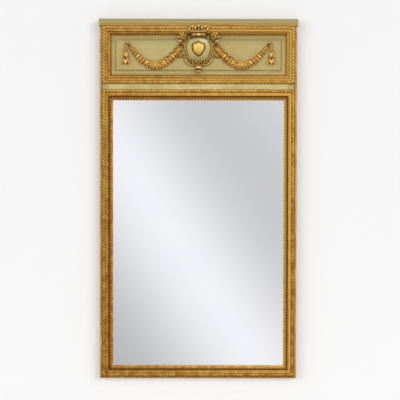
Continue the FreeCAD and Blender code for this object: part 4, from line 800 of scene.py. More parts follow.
GLUE_GAP = 0.2
CARVING_BACK = -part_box("fielded_panel")[0].y / MM + GLUE_GAP
ARC_STEPS = 14
RUN_PROFILE = (
    # share of the half width, share of the height, and how deep the point lies
    (-1.0, 0.0, 0.9), (-1.0, 0.45, 0.5), (-0.86, 0.82, 0.0), (-0.62, 0.92, 0.0), (-0.42, 0.68, 0.7), (0.0, 0.80, 0.15),
    (0.42, 0.68, 0.7), (0.62, 0.92, 0.0), (0.86, 0.82, 0.0), (1.0, 0.45, 0.5), (1.0, 0.0, 0.9),
)
ROUND_PROFILE = tuple((-math.cos(turn), math.sin(turn), 0.8 * (1 - math.sin(turn)))
                      for turn in (math.pi * i / 8 for i in range(9)))
PLATE_ARCS = (
    # each arc's start and middle, in millimetres from the panel's middle: the right side, bottom, left side and top
    (44.0, 64.0), (48.0, 53.0), (55.0, 41.0), (49.5, 11.0), (38.0, -18.0), (0.0, -29.0), (-38.0, -18.0), (-49.5, 11.0),
    (-55.0, 41.0), (-48.0, 53.0), (-44.0, 64.0), (0.0, 76.0),
)
PLATE_STEPS = (
    # share of the outline, height and how deep the ring lies
    (0.99, 0.0, 0.0), (0.99, 8.2, 0.0), (0.95, 8.4, 0.0), (0.90, 9.2, 0.0), (0.80, 11.8, 0.0), (0.68, 14.2, 0.0),
    (0.55, 16.0, 0.0), (0.40, 16.8, 0.0), (0.2, 17.0, 0.0), (0.04, 17.0, 0.0),
)
PLATE_FOCUS = 27
PLATE_RIM = (1.2, 10.0)  # half its width and its height
PLATE_PAINT = "#B39E5E"
PLATE_PAINT_LIGHT = "#C4B57E"
PLATE_CLOUD = 25  # millimetres
PLATE_SHADE_REACH = 0.008
PLATE_DARKENING = (0.004, -0.016)
GLARE = "#E2CAA6"
GLARE_X = 0.021
GLARE_Z = 0.057
GLARE_REACH = 0.029
GLARE_RAGGED = 8.33  # millimetres


def joined(shapes):
    starts = np.cumsum([0] + [len(shape.points) for shape in shapes]).tolist()
    faces = [tuple(i + start for i in face) for shape, start in zip(shapes, starts) for face in shape.faces]
    return Shape(np.concatenate([shape.points for shape in shapes]), faces,
                 np.concatenate([shape.recess for shape in shapes]))


def carved_run(stations, profile=RUN_PROFILE):
    """A carved band in the panel's plane. Stations are x, z, half width and height, in mm from the panel's middle."""
    rings = []
    for i, (x, z, half, front) in enumerate(stations):
        before, after = stations[max(i - 1, 0)], stations[min(i + 1, len(stations) - 1)]
        along = Vector((after[0] - before[0], after[1] - before[1])).normalized()
        rings.append([(x + along.y * half * wide, -front * high, z - along.x * half * wide)
                      for wide, high, _ in profile])
    return skin(rings, [[deep for _, _, deep in profile]] * len(rings))


def smooth_path(points, steps):
    """Points along a smooth curve through a few given ones, each a tuple of numbers."""
    given = np.array(points, float)
    padded = np.vstack([given[0] * 2 - given[1], given, given[-1] * 2 - given[-2]])
    path = []
    for i in range(len(given) - 1):
        a, b, c, d = padded[i:i + 4]
        for t in (step / steps for step in range(steps)):
            path.append(0.5 * (2 * b + (c - a) * t + (2 * a - 5 * b + 4 * c - d) * t * t
                               + (3 * b - a - 3 * c + d) * t ** 3))
    return [tuple(point) for point in path] + [tuple(given[-1])]


def dome(x, z, radius, rim, crown, rows=6, sides=28, recess=0.0):
    """A round button on the flat back, straight up to its rim and domed above."""
    levels = [(radius, 0.0)]
    for turn in (math.pi / 2 * i / rows for i in range(rows)):
        levels.append((radius * math.cos(turn), rim + (crown - rim) * math.sin(turn)))
    shape = skin([[(px, -front, pz) for px, pz in arc(x, z, reach, 0, 360, sides)[:-1]] for reach, front in levels])
    shape.recess[:] = recess
    shape.recess[:sides] = 1.0
    return shape


def on_panel(shape, x=0.0, z=0.0, front=CARVING_BACK):
    """Puts a shape drawn in millimetres about the panel's middle into the frame, in metres."""
    placed = shape.moved(Matrix.Translation((x, -front, PANEL_MIDDLE / MM + z)))
    placed.points *= MM
    return placed


def fix_carving(name, shape, material, node, *place, slot="gilded_wood"):
    """Sets a carving on the panel, over the frame's plainer solid."""
    finish_piece(new_piece(name, on_panel(shape, *place)), material, node)


def fix_both(name, shape, material, node):
    """Sets a carving on the right of the panel, and its mirror image on the left."""
    for word, half in (("right", shape), ("left", shape.mirrored())):
        fix_carving(name + word, half, material, node + word)


def arc_outline(corners):
    """Points round an outline of arcs, each less than a half circle, from its start and middle to the next start."""
    outline = []
    for i in range(0, len(corners), 2):
        a, b, c = (complex(*corners[j % len(corners)]) for j in (i, i + 1, i + 2))
        w = (c - a) / (b - a)
        centre = a - (a - b) * (w - abs(w) ** 2) / 2j / w.imag
        turn = cmath.phase((c - centre) / (a - centre))
        spots = [centre + (a - centre) * cmath.exp(1j * turn * step / ARC_STEPS) for step in range(ARC_STEPS)]
        outline += [(spot.real, spot.imag) for spot in spots]
    return outline


def stepped_relief(outline, centre_z, steps):
    """A relief over an outline. Steps are a scale about the centre, a height and how deep the ring lies."""
    rings = [[(x * scale, -front, centre_z + (z - centre_z) * scale) for x, z in outline] for scale, front, _ in steps]
    return skin(rings, [[deep] * len(outline) for _, _, deep in steps])


# Distemper glazed to a low sheen, with a painted highlight in a pinkish gesso colour at the upper right, darker
# towards its foot, and painted shade round the carvings on it.
material, tree = new_material("glazed_distemper_plate")
cloud = mottle(tree, PLATE_CLOUD, 4.0)
colour = add_node(tree, "Mix", {0: cloud, 6: PLATE_PAINT, 7: PLATE_PAINT_LIGHT}, 2, data_type="RGBA")
# A pale patch painted at the upper right as a highlight.
spot = (GLARE_X, 0, PANEL_MIDDLE + GLARE_Z)
offset = add_node(tree, "VectorMath", [object_place(tree), spot], operation="SUBTRACT")
offset = add_node(tree, "VectorMath", [offset, (1, 0, 1)], operation="MULTIPLY")
away = add_node(tree, "VectorMath", [offset], "Value", operation="LENGTH")
away = add_node(tree, "Math", [mottle(tree, GLARE_RAGGED, 4.0), GLARE_REACH, away], operation="MULTIPLY_ADD")
colour = coat_where(tree, colour, GLARE, away, GLARE_REACH * 1.35, GLARE_REACH, 0.8)
# Darker towards its foot.
up = add_node(tree, "SeparateXYZ", [object_place(tree)], "Z")
colour = coat_where(tree, colour, DARKENED_SAGE, up, *(PANEL_MIDDLE + rise for rise in PLATE_DARKENING), 0.6)
# Painted shade round the shield and the rim.
shut_in = add_node(tree, "AmbientOcclusion", {"Distance": PLATE_SHADE_REACH}, "AO", samples=8)
colour = coat_where(tree, colour, GRIME_AND_SHADE, shut_in, 0.92, 0.5, 0.9)
plate_finish = close_material(material, colour, 0.32, cloud, BRUSH_RELIEF)
plate_outline = arc_outline(PLATE_ARCS)
fix_carving("painted_plate", stepped_relief(plate_outline, PLATE_FOCUS, PLATE_STEPS), plate_finish, "cartouche_plate",
            slot="painted_wood")

# Water gilding on the carving: warm and bright, with painted highlights on its crests and painted shade on its steep
# sides and undersides.
carved_gold = gilding("water_gilt_carving", 1.0, "#F69A18", 0.28, "#FFBC36", 0.2, 0.0050, crest_highlight=0.65, under=0.8,
                      side_shade=0.9)
# The same on the scrolls, cleaned more often: paler and more metallic, with the same painted highlights and shade.
pale_gold = gilding("water_gilt_scrollwork", 1.0, "#EEB446", 0.54, "#FCD472", 0.2, 0.004, crest_highlight=0.75, under=0.45,
                    side_shade=0.7)
# Burnished leaf on the shield: smooth, painted light that grows to bright yellow at its top, and deep gold at its
# point.
bright_gold = gilding("burnished_gold_shield", 0.15, "#B0741C", 0.38, "#FFD85C", 0.15, crest_highlight=0.2, lit_from_above=1.0,
                      span=(PANEL_MIDDLE - 0.004, PANEL_MIDDLE + 0.044))
rim_path = [spot + PLATE_RIM for spot in plate_outline]
fix_carving("plate_rim", carved_run(rim_path + rim_path[:2], ROUND_PROFILE), pale_gold, "cartouche_plate")

# The shield: hollowed to two ears at the top, with a ridge down its middle and a plain rim. Lime wood in bright
# burnished gold, glued to the crown of the plate.
SHIELD_ARCS = (
    # each arc's start and middle, from the top's middle round by the right
    (0.0, 31.5), (10.5, 24.6), (23.5, 22.0), (26.0, 14.0), (26.0, 6.0), (19.5, -15.0), (0.0, -31.5), (-19.5, -15.0),
    (-26.0, 6.0), (-26.0, 14.0), (-23.5, 22.0), (-10.5, 24.6),
)
SHIELD_STEPS = (
    # scale about the middle, height and how deep the ring lies; the outer rings make a low dark flange, painted shade
    # round the shield
    (1.13, 0.0, 1.0), (1.12, 0.7, 1.0), (1.0, 0.9, 1.0), (0.99, 2.4, 0.9), (0.95, 3.4, 0.3), (0.90, 3.6, 0.1),
    (0.86, 2.9, 0.7), (0.80, 3.5, 0.1), (0.66, 4.7, 0.0), (0.48, 5.7, 0.0), (0.28, 6.3, 0.0), (0.05, 6.5, 0.0),
)
SHIELD_Z = 27.0
PLATE_CROWN = 17.4
RIDGE_RISE = 1.4
shield = stepped_relief(arc_outline(SHIELD_ARCS), 0, SHIELD_STEPS)
ridge = np.clip(RIDGE_RISE - np.abs(shield.points[:, 0]) * 0.10, 0, RIDGE_RISE)
shield.points[:, 1] -= ridge * (-shield.points[:, 1] > 4) * 0.7
fix_carving("burnished_shield", shield, bright_gold, "shield", 0, SHIELD_Z, CARVING_BACK + PLATE_CROWN)

# The side scrolls: a slim band down each side of the plate with leaves that turn outwards, an ear above and a flared
# leaf below that sweeps up from under the plate.
SCROLL_PATHS = (
    # the band, the flare, the ear and the loop, each as x, z, half width and height
    ((50.0, 63.0, 2.4, 11.0), (53.0, 53.0, 2.9, 12.5), (60.5, 42.0, 3.2, 13.0), (58.5, 24.0, 2.9, 12.5),
     (53.0, 4.0, 2.9, 12.0), (45.0, -14.0, 2.9, 12.0), (35.0, -26.0, 2.5, 11.0)),
    ((20.0, -48.5, 2.0, 8.0), (34.0, -45.0, 3.2, 11.0), (48.0, -35.5, 3.8, 12.0), (59.0, -22.0, 3.4, 10.5),
     (66.5, -7.0, 1.0, 6.0)),
    ((42.5, 60.0, 2.5, 11.0), (42.0, 70.0, 3.2, 12.0), (43.5, 80.0, 2.5, 10.0), (47.0, 87.0, 0.8, 7.0)),
    ((62.0, 36.0, 1.8, 9.0), (67.0, 50.0, 2.0, 10.0), (76.0, 59.5, 2.0, 9.0), (86.0, 56.0, 2.0, 8.0),
     (84.0, 46.0, 1.6, 7.0)),
)
SCROLL_LEAVES = (
    # x, z, direction in degrees, length and width in millimetres
    (57.0, 38.0, 62, 17, 9), (57.5, 20.0, 40, 15, 8), (53.0, 2.0, 20, 14, 8), (46.0, -12.0, 5, 14, 8),
    (49.0, -32.0, 80, 15, 8), (38.0, -40.0, 95, 13, 7),
)
LIE_FLAT = Matrix(((1, 0, 0, 0), (0, 0, -1, 0), (0, 1, 0, 0), (0, 0, 0, 1)))
PATH_STEPS = 8
BLADE_THICK = 3.4
BLADE_CURL = 3.0


def leaf_blade(length, width, thick, curl, steps=8, shade=0.95):
    """A leaf along X that lies on Z = 0: a raised midrib, cupped sides and a tip that curls up."""
    rings, recess = [], []
    for i in range(steps + 1):
        along = i / steps
        half = width / 2 * max(math.sin(math.pi * min(along ** 0.75, 1.0)), 0.06) ** 0.8
        lift = curl * along ** 3
        top = thick * (1 - 0.6 * along)
        rings.append([(along * length, half * wide, lift + top * high) for wide, high in (
            (-1, 0), (-0.86, 0.8), (-0.38, 0.62), (0, 1.15), (0.38, 0.62), (0.86, 0.8), (1, 0), (0, -0.2))])
        # Painted shade: the leaf darkens towards its root, where the leaves overlap.
        root = shade * (1 - along) ** 1.2
        recess.append([max(deep, root) for deep in (0.8, 0.0, 0.26, 0.0, 0.26, 0.0, 0.8, 1.0)])
    return skin(rings, recess)


def flat_leaf(x, z, degrees, length, width, front=6.0):
    """A single leaf that lies in the panel's plane and points the given way."""
    turn = Matrix.Rotation(-math.radians(degrees), 4, "Y")
    blade = leaf_blade(length, width, BLADE_THICK, BLADE_CURL)
    return blade.moved(Matrix.Translation((x, -front, z)) @ turn @ LIE_FLAT)


scroll = joined([carved_run(smooth_path(path, PATH_STEPS), ROUND_PROFILE) for path in SCROLL_PATHS]
                + [flat_leaf(*leaf) for leaf in SCROLL_LEAVES])
fix_both("side_scroll_", scroll, pale_gold, "cartouche_border_")

# The top scroll: two volutes on either side of a turned spool, rolled forward over the plate's edge. Lime wood,
# gilded, carved in one piece and glued on.
TOP_SCROLL_Z = 90.0
TOP_SCROLL_FRONT = 35.7
SPOOL_LENGTH = 56.0
SPOOL_SIDES = 20
SPOOL_AXIS = 4.5
SPOOL_PROFILE = ((0.0, 6.2), (0.16, 5.6), (0.30, 4.6), (0.36, 5.6), (0.44, 6.2), (0.5, 6.4), (0.56, 6.2), (0.64, 5.6),
                 (0.70, 4.6), (0.84, 5.6), (1.0, 6.2))
VOLUTE_X = 25
VOLUTE_SIZE = 12.0
VOLUTE_TURNS = 1.5
VOLUTE_STEPS = 54


def flattened(shape):
    """Presses what would lie behind the flat back onto it."""
    shape.points[:, 1] = np.minimum(shape.points[:, 1], 0)
    return shape


def volute(x, way):
    """A rolled end: a band that winds in to a raised eye. Way is 1 to wind clockwise and -1 the other way."""
    stations = []
    for inward in (i / VOLUTE_STEPS for i in range(VOLUTE_STEPS + 1)):
        reach = VOLUTE_SIZE * (0.84 - 0.60 * inward)
        turn = math.pi / 2 - way * math.tau * VOLUTE_TURNS * inward
        stations.append((x + reach * math.cos(turn), reach * math.sin(turn), VOLUTE_SIZE * (0.13 - 0.04 * inward),
                         VOLUTE_SIZE * (0.82 + 0.18 * inward)))
    # The volute's sunk floor is dark all over: toning and painted shade.
    return [carved_run(stations, ROUND_PROFILE),
            dome(x, 0, VOLUTE_SIZE * 0.92, VOLUTE_SIZE * 0.45, VOLUTE_SIZE * 0.5, rows=3, recess=1.0),
            dome(x, 0, VOLUTE_SIZE * 0.24, VOLUTE_SIZE * 0.8, VOLUTE_SIZE * 1.12, rows=5)]


spool = skin([[(SPOOL_LENGTH * (share - 0.5), -SPOOL_AXIS - y, z)
               for z, y in arc(0, 0, radius, 0, 360, SPOOL_SIDES)[:-1]]
              for share, radius in SPOOL_PROFILE],
             [[0.8 if radius < 5 else 0.0] * SPOOL_SIDES for _, radius in SPOOL_PROFILE])
fix_carving("top_scroll_carved", joined([flattened(spool)] + volute(-VOLUTE_X, 1) + volute(VOLUTE_X, -1)), pale_gold,
            "top_scroll", 0, TOP_SCROLL_Z, TOP_SCROLL_FRONT)

# The bow under the plate: two rings with small eyes, a bridge between them and a loop round each. Lime wood,
# gilded, and glued to the panel.
BOW_Z = -37.0
BOW_PATH = ((3.0, 0.0, 3.0, 10.0), (9.0, -8.0, 3.0, 12.0), (20.0, -8.5, 2.8, 12.0), (30.0, -2.0, 2.2, 10.0))
BRIDGE_PATH = ((-11, 6, 3.4, 11), (-6, 6, 4.4, 13), (0, 6, 5.0, 14), (6, 6, 4.4, 13), (11, 6, 3.4, 11))
BOW_RING_X = 20
BOW_RING_Z = 7
BOW_RING_RADIUS = 7.8
BOW_RING_STEPS = 28
BOW_BAND = (2.7, 13.0)  # half its width and its height
# A dome's radius, and its height at the rim and at the crown.
BOW_HOLLOW = (6.0, 3.0, 3.6)
BOW_EYE = (1.8, 6.0, 8.0)
parts = []
for x in (-BOW_RING_X, BOW_RING_X):
    ring = arc(x, BOW_RING_Z, BOW_RING_RADIUS, 0, 360, BOW_RING_STEPS)
    # Each ring's sunk floor is dark all over: toning and painted shade.
    parts += [carved_run([spot + BOW_BAND for spot in ring + ring[1:2]], ROUND_PROFILE),
              dome(x, BOW_RING_Z, *BOW_HOLLOW, rows=3, recess=1.0), dome(x, BOW_RING_Z, *BOW_EYE, rows=4, sides=12)]
loop = carved_run(smooth_path(BOW_PATH, PATH_STEPS), ROUND_PROFILE)
fix_carving("tied_bow", joined(parts + [loop, loop.mirrored(), carved_run(BRIDGE_PATH)]), pale_gold, "bottom_bow", 0,
            BOW_Z)

# The acorn: a leaf cup and a ribbed nut on a small tip. Turned in lime wood, carved, gilded, and cut flat behind,
# where it is glued to the panel.
ACORN_TOP = -46.8
ACORN_LENGTH = 38.0
ACORN_AXIS = 7.0
ACORN_SIDES = 48
ACORN_COLLAR = (-22.5, -15.5)
RIBS = 8
ACORN_PROFILE = ((0.0, 1.8), (0.06, 4.2), (0.13, 4.8), (0.22, 8.4), (0.34, 11.0), (0.44, 11.0), (0.52, 9.4),
                 (0.57, 10.0), (0.62, 15.0), (0.78, 14.4), (0.92, 9.0), (1.0, 4.0))


def ribbed_turning(profile, length, sides, rib_depth, axis_front):
    """A turning about Z, hanging down from 0, with ribs cut along it and its back pressed flat."""
    rings, recess = [], []
    turns = [math.tau * j / sides for j in range(sides)]
    grooves = [0.5 - 0.5 * math.cos(RIBS * turn) for turn in turns]
    for share_up, radius in profile:
        reaches = [radius * (1 - rib_depth * groove) for groove in grooves]
        rings.append([(reach * math.cos(turn), -(axis_front + reach * math.sin(turn)), -length * (1 - share_up))
                      for reach, turn in zip(reaches, turns)])
        recess.append([groove * 0.8 for groove in grooves])
    return flattened(skin(rings, recess))


acorn = ribbed_turning(smooth_path(ACORN_PROFILE, 3), ACORN_LENGTH, ACORN_SIDES, 0.10, ACORN_AXIS)
# The collar under the cup is marked as deep as it goes: toning and painted shade under the cup.
in_collar = (acorn.points[:, 2] > ACORN_COLLAR[0]) & (acorn.points[:, 2] < ACORN_COLLAR[1])
acorn.recess[:] = np.where(in_collar, 1.0, acorn.recess * 0.5)
fix_carving("ribbed_acorn", acorn, carved_gold, "acorn_drop", 0, ACORN_TOP)

# The coronet: a beaded band with seven leaf points, each under a pearl. Carved in lime wood and gilded, it lies over
# the mouldings above the cartouche.
CORONET_Z = 102.5
CORONET_FRONT = 38.2
CORONET_RAYS = ((-40, 11.8), (-28.8, 23.0), (-15.2, 17.4), (0.0, 25.2), (15.2, 17.4), (28.8, 23.0), (40, 11.8))
# A thin ground behind the points, dark all over: painted shade between them.
CORONET_GROUND = ((-36, 2), (-42, 10), (-29, 21), (-15, 17), (0, 23), (15, 17), (29, 21), (42, 10), (36, 2), (0, -3))
GROUND_STEPS = ((1.0, 0.0, 1.0), (1.0, 1.2, 1.0), (0.9, 1.4, 1.0), (0.1, 1.5, 1.0))
BAND_BEADS = 9
BEADS_HALF = 32
BEAD = (2.3, 6.2, 7.8)
PEARL = (4.9, 4.4, 8.0)


def band_rise(x):
    """How far the coronet's band has risen at a distance from its middle."""
    return 3.4 * (x / 40) ** 2


parts = [carved_run(smooth_path([(x, band_rise(x), 3.4, 7.0) for x in (-38, -19, 0, 19, 38)], 6))]
for across, up in CORONET_RAYS:
    foot = across * 0.8
    ray = [(foot, 2.0, 3.8, 6.0), ((foot + across) / 2, up * 0.5, 3.4, 6.5), (across, up * 0.92, 1.2, 4.5)]
    parts += [carved_run(smooth_path(ray, 6)), dome(across, up, *PEARL, sides=16)]
parts.append(stepped_relief(CORONET_GROUND, 8, GROUND_STEPS))
for i in range(BAND_BEADS):
    x = BEADS_HALF * (2 * i / (BAND_BEADS - 1) - 1)
    parts.append(dome(x, band_rise(x), *BEAD, rows=4, sides=12))
fix_carving("pearled_coronet", joined(parts), pale_gold, "coronet", 0, CORONET_Z, CORONET_FRONT)


# The crossed quivers: behind the cartouche lie two fluted quivers, whose banded mouths spill flowers above, and whose
# pointed ends show below. Lime wood, gilded like the rest, with painted shade between the petals.

QUIVER_SLOPE = math.radians(28)
QUIVER_RISE = 41.0
FLUTE_HALF = ((0.14, 0.98, 0.0), (0.30, 0.82, 0.8), (0.48, 0.88, 0.0), (0.66, 0.66, 0.8), (0.78, 0.72, 0.0),
              (0.96, 0.45, 0.4), (1.0, 0.0, 0.9))
FLUTE_PROFILE = tuple((-wide, high, deep) for wide, high, deep in FLUTE_HALF[::-1]) + ((0.0, 0.90, 0.8),) + FLUTE_HALF
# Along the quiver, half its width and its height there, in millimetres: its mouth above, and its tail below.
MOUTH_STATIONS = ((66, 8.6, 10.0), (69, 9.2, 10.6), (72, 9.6, 11.2), (73, 11.0, 12.4), (77, 11.0, 12.4),
                  (79, 9.8, 11.0))
TAIL_STATIONS = ((83, 9.0, 10.0), (92, 8.0, 9.2), (94, 10.2, 11.6), (98, 10.2, 11.6), (100, 7.4, 8.6), (106, 4.6, 5.4))
BLOSSOMS = (
    # along the quiver and aside from it, then radius, in millimetres
    (85.6, 2.6, 9.4), (85.6, 15.8, 8.6), (94.8, -7.7, 8.1), (96.6, 8.8, 8.6), (73.6, 13.2, 6.8),
)
PETALS = 6
PETAL_RINGS = ((1.0, 0.25, 2.0), (0.62, 0.75, 4.0))  # size, lift in radians, and rise in millimetres
FLOWER_FRONT = 8.7
SPRAY_LEAVES = (
    # x, z, direction in degrees, length and width in millimetres
    (63.0, 58.0, 12, 34, 13), (61.0, 66.0, 36, 36, 12), (70.0, 84.0, 70, 22, 10),
)
OUTWARDS = Vector((0, -1, 0))


def quiver_point(along, aside, slope):
    """A place on the panel, given along a quiver and aside from it."""
    return (along * math.cos(slope) - aside * math.sin(slope),
            QUIVER_RISE + along * math.sin(slope) + aside * math.cos(slope))


def quiver_run(stations, slope):
    return carved_run([quiver_point(along, 0, slope) + (half, front) for along, half, front in stations], FLUTE_PROFILE)


def basis_turn(along, out):
    """The Euler turn that takes X to along and Z as near to out as it can be."""
    side = out.cross(along).normalized()
    return Matrix((along, side, along.cross(side).normalized())).transposed().to_euler()


def petal_places():
    """Every petal of the right spray: two rings to each flower, the inner one smaller and steeper."""
    places = []
    for along, aside, radius in BLOSSOMS:
        x, z = quiver_point(along, aside, QUIVER_SLOPE)
        for ring, (size, lift, rise) in enumerate(PETAL_RINGS):
            for i in range(PETALS):
                turn = math.tau * (i + 0.5 * ring) / PETALS + along
                out = Vector((math.cos(turn), 0, math.sin(turn)))
                run = (out * math.cos(lift) + OUTWARDS * math.sin(lift)).normalized()
                normal = (OUTWARDS * math.cos(lift) - out * math.sin(lift)).normalized()
                places.append(((x, -(FLOWER_FRONT + rise), z), basis_turn(run, normal), (radius * size,) * 3))
    return places


def fix_pair(name, unit, places, plain, material, node, x=0.0, flattening=None):
    """Sets a carving of like units with its plain part on the right of the panel, and its mirror image on the left."""
    for word in ("right", "left"):
        piece = set_units(name % word, unit, places, material)
        if flattening:
            points = np.array([vertex.co for vertex in piece.data.vertices])
            points[:, 1] = np.minimum(points[:, 1], 0) * flattening
            piece.data.vertices.foreach_set("co", points.ravel())
        piece.data.transform(Matrix.Scale(MM, 4) @ Matrix.Translation((x, -CARVING_BACK, PANEL_MIDDLE / MM)))
        pieces = [piece, new_piece(name % word + "_plain", on_panel(plain, x))]
        with bpy.context.temp_override(active_object=piece, selected_editable_objects=pieces):
            bpy.ops.object.join()
        if word == "left":
            piece.data.transform(Matrix.Scale(-1, 4, (1, 0, 0)))
        finish_piece(piece, material, node + word)


# Gilding on the quivers and the flowers: painted highlights on the petals' tips, and brown painted shade between them.
quiver_gold = gilding("water_gilt_quiver", 1.0, "#E2AA42", 0.42, "#FFD668", 0.3, 0.005, 0.70, crest_highlight=0.85, under=0.7,
                      side_shade=0.8)
parts = [quiver_run(MOUTH_STATIONS, QUIVER_SLOPE)]
for along, aside, radius in BLOSSOMS:
    x, z = quiver_point(along, aside, QUIVER_SLOPE)
    # Each flower: a raised heart, and under its petals a low disc that is dark all over, painted shade.
    parts += [dome(x, z, radius * 0.40, FLOWER_FRONT + 6.0, FLOWER_FRONT + 8.6, rows=5, sides=16),
              dome(x, z, radius * 0.74, FLOWER_FRONT + 1.6, FLOWER_FRONT + 4.6, rows=3, sides=16, recess=1.0)]
parts += [flat_leaf(*leaf, front=5.0) for leaf in SPRAY_LEAVES]
fix_pair("flower_spray_%s", leaf_blade(1.0, 0.80, 0.18, 0.16, steps=6), petal_places(), joined(parts), quiver_gold,
         "flower_quiver_")
fix_both("quiver_end_", quiver_run(TAIL_STATIONS, -QUIVER_SLOPE), quiver_gold, "quiver_tail_")


# The swags: laurel garlands that hang from the cartouche to a pin at each side. Leaves overlap from both ends
# towards the middle and are bound with ribbon. Lime wood, gilded, with painted highlights on the leaf tips and
# painted shade between the leaves.

SWAG_INNER = 74.0
SWAG_SPAN = 238.0
SWAG_RISE = 45.5
SWAG_SAG = 91.5
SWAG_WIDTHS = (8.0, 28.0)
SWAG_FRONTS = (6.0, 17.0)
SWELL_POWER = 0.7
SWAG_INNER_SWELL = 9.0
LEAF_ROWS = 12
LEAVES_ROUND = 5
LEAF_LENGTH = 25.0
LEAF_LIFT = 0.20
LEAF_FAN = 78
FIRST_ROW = 0.01
ROWS_REACH = 0.46
ROWS_EASE = 1.3
FRINGE_SHARE = 0.3
FRINGE_SPLAY = 0.35
BERRIES = 22
BERRY_RADIUS = 3.0
RIBBON_SHARES = (0.17, 0.335, 0.5, 0.665, 0.83)
RIBBON_HALF = 3.2
CORE_STEPS = 48
EDGE_SHARE = 0.26
EDGE_STEPS = 14


def swag_at(share):
    """A garland's middle as x and z, half its width, its height and its direction, at a share of the way along."""
    full = max(math.sin(math.pi * min(max(share, 0.0), 1.0)), 0.0) ** SWELL_POWER
    width = SWAG_WIDTHS[0] + (SWAG_WIDTHS[1] - SWAG_WIDTHS[0]) * full + SWAG_INNER_SWELL * (1 - share) ** 4
    front = SWAG_FRONTS[0] + (SWAG_FRONTS[1] - SWAG_FRONTS[0]) * full
    along = Vector((SWAG_SPAN, 0, -4 * SWAG_SAG * (1 - 2 * share))).normalized()
    return SWAG_INNER + SWAG_SPAN * share, SWAG_RISE - 4 * SWAG_SAG * share * (1 - share), width / 2, front, along


def laurel_places():
    """Rows of leaves round the front of the garland, from either end to its middle."""
    places = []
    for way in (1, -1):
        for row in range(LEAF_ROWS):
            share = FIRST_ROW + ROWS_REACH * (row / (LEAF_ROWS - 1)) ** ROWS_EASE
            x, z, half, front, tangent = swag_at(share if way > 0 else 1 - share)
            tangent = tangent * way
            across = Vector((tangent.z, 0, -tangent.x))
            size = LEAF_LENGTH * (0.42 + 0.58 * half / (SWAG_WIDTHS[1] / 2))
            for i in range(LEAVES_ROUND):
                spread = math.radians(LEAF_FAN * (2 * (i + 0.5 * (row % 2)) / (LEAVES_ROUND - 0.5) - 1))
                normal = (across * math.sin(spread) + OUTWARDS * math.cos(spread)).normalized()
                spot = Vector((x, -front * 0.60 * math.cos(spread), z)) + across * (half * 0.66 * math.sin(spread))
                lift = LEAF_LIFT * (1 + 0.35 * math.sin(3.1 * row + 2.3 * i))
                aside = 0.24 * math.sin(spread)
                if way > 0 and i == 0 and share < FRINGE_SHARE:
                    aside -= FRINGE_SPLAY
                run = (tangent + across * aside).normalized()
                run = (run * math.cos(lift) + normal * math.sin(lift)).normalized()
                places.append((spot, basis_turn(run, normal), (size, size * 0.95, size)))
    return places


def ribbon(share):
    """A flat ribbon tied across the swag."""
    rings, recess = [], []
    for step, swell, deep in ((-1.0, 1.0, 0.9), (-0.8, 1.10, 0.0), (0.8, 1.10, 0.0), (1.0, 1.0, 0.9)):
        x, z, half, front, along = swag_at(share + RIBBON_HALF / SWAG_SPAN * step)
        rings.append([(x + along.z * half * swell * 0.92 * wide, -front * swell * 0.98 * high,
                       z - along.x * half * swell * 0.92 * wide) for wide, high, _ in ROUND_PROFILE])
        recess.append([deep] * len(ROUND_PROFILE))
    return skin(rings, recess)


def swag_edge():
    """The ribbon's turned edge, which runs down the outer side of the swag from the cartouche."""
    stations = []
    for inner in (i / EDGE_STEPS for i in range(EDGE_STEPS + 1)):
        x, z, half, front, along = swag_at(EDGE_SHARE * inner)
        stations.append((x + along.z * half * 0.85, z - along.x * half * 0.85, 2.2 - 1.4 * inner, front * 1.05))
    return carved_run(stations, ROUND_PROFILE)


def ball(centre, radius, rows=6, sides=12):
    rings = []
    for turn in (math.pi * (i + 0.15) / (rows + 0.3) for i in range(rows + 1)):
        rings.append([(x, y, centre.z - radius * math.cos(turn))
                      for x, y in arc(centre.x, centre.y, radius * math.sin(turn), 0, 360, sides)[:-1]])
    return skin(rings)


def berries(rng):
    """Berries on the swag, in the gaps between the leaves."""
    balls = []
    for i in range(BERRIES):
        x, z, half, front, tangent = swag_at(0.08 + 0.84 * i / (BERRIES - 1))
        across = Vector((tangent.z, 0, -tangent.x))
        spread = rng.uniform(-1.0, 1.0)
        spot = Vector((x, -front * 0.98 * math.cos(spread), z)) + across * (half * 0.9 * math.sin(spread))
        balls.append(ball(spot, BERRY_RADIUS * rng.uniform(0.8, 1.1)))
    return balls


core = [swag_at(i / CORE_STEPS) for i in range(CORE_STEPS + 1)]
core = carved_run([(x, z, half * 0.72, front * 0.66) for x, z, half, front, _ in core], ROUND_PROFILE)
# The core shows only between the leaves, and is dark: painted shade.
core.recess[:] = 0.85
core = joined([core] + [ribbon(share) for share in RIBBON_SHARES] + berries(random.Random(11)) + [swag_edge()])
fix_pair("laurel_swag_%s", leaf_blade(1.0, 0.50, 0.10, 0.05), laurel_places(), core, carved_gold, "swag_")

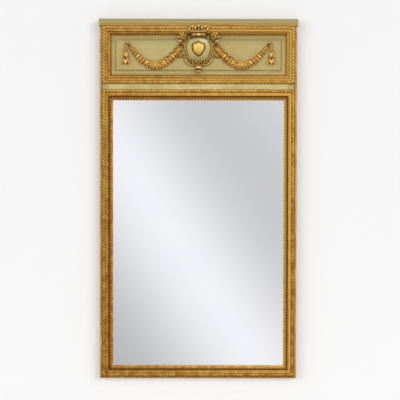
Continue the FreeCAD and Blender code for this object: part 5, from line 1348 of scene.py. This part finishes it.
# The knots: the swag's cord turns over a pin, and falls to the drop. Lime wood, gilded, carved as one piece with the
# button that stands for the pin.
KNOT_HALF = 7.0
KNOT_LIFT = 3.2
CORD = (3.0, 6.0)
BUTTON = (4.2, 5.0, 9.0)
DROP_X = SWAG_INNER + SWAG_SPAN + 2 * KNOT_HALF
knot_x, knot_z = DROP_X - KNOT_HALF, SWAG_RISE + KNOT_LIFT
cord = [(2 * knot_x - x, knot_z + 1.3 * z, *CORD) for x, z in arc(knot_x, 0, KNOT_HALF, 0, 180, 16)]
knot = joined([carved_run(cord), dome(knot_x, knot_z + 6, *BUTTON)])
fix_both("cord_knot_", knot, carved_gold, "swag_knot_")

# The husk drops: two bell husks, one in the other's mouth, under a small ball. Lime wood, gilded, with painted shade
# where the petals overlap and on the stem inside the lower husk, and glued to the panel below each knot.
DROP_TOP = 48.0
DROP_LENGTH = 84.0
DROP_AXIS = 6.4
DROP_SIDES = 24
HUSK_FLATTENING = 0.8
HUSK_SHADOW_Z = -28.0
HUSKS = ((17.0, 31.0, 10.0, 4), (-12.0, 32.0, 16.0, 5))  # top, length, radius at the mouth and petals of each husk
STEM_PROFILE = ((0.0, 5.0), (0.1, 9.0), (0.3, 7.4), (0.4, 3.6), (0.45, 5.6), (0.6, 5.2), (0.68, 3.4), (0.8, 3.0),
                (0.86, 2.8), (0.9, 4.4), (0.95, 4.8), (1.0, 2.4))
places = []
for top, length, mouth, count in HUSKS:
    for ring, (size, wide) in enumerate(((1.0, 1.0), (0.86, 0.62))):
        tilt = math.atan2(mouth * wide * 0.55, length)
        for i in range(count):
            turn = math.tau * (i + 0.5 * ring + 0.25) / count
            out = Vector((math.cos(turn), -math.sin(turn), 0))
            run = (Vector((0, 0, -1)) * math.cos(tilt) + out * math.sin(tilt)).normalized()
            spot = Vector((0, -DROP_AXIS, top)) + out * (mouth * 0.34 * wide)
            places.append((spot, basis_turn(run, out), (length * size, length * 0.8, length * 0.8)))
stem = ribbed_turning(STEM_PROFILE, DROP_LENGTH, DROP_SIDES, 0.12, DROP_AXIS)
stem.recess[:] = np.where(stem.points[:, 2] > HUSK_SHADOW_Z, stem.recess, 0.8)
fix_pair("husk_drop_%s_carved", leaf_blade(1.0, 0.58, 0.14, 0.18, steps=9, shade=0.3), places,
         stem.moved(Matrix.Translation((0, 0, DROP_TOP))), carved_gold, "husk_drop_", DROP_X, HUSK_FLATTENING)
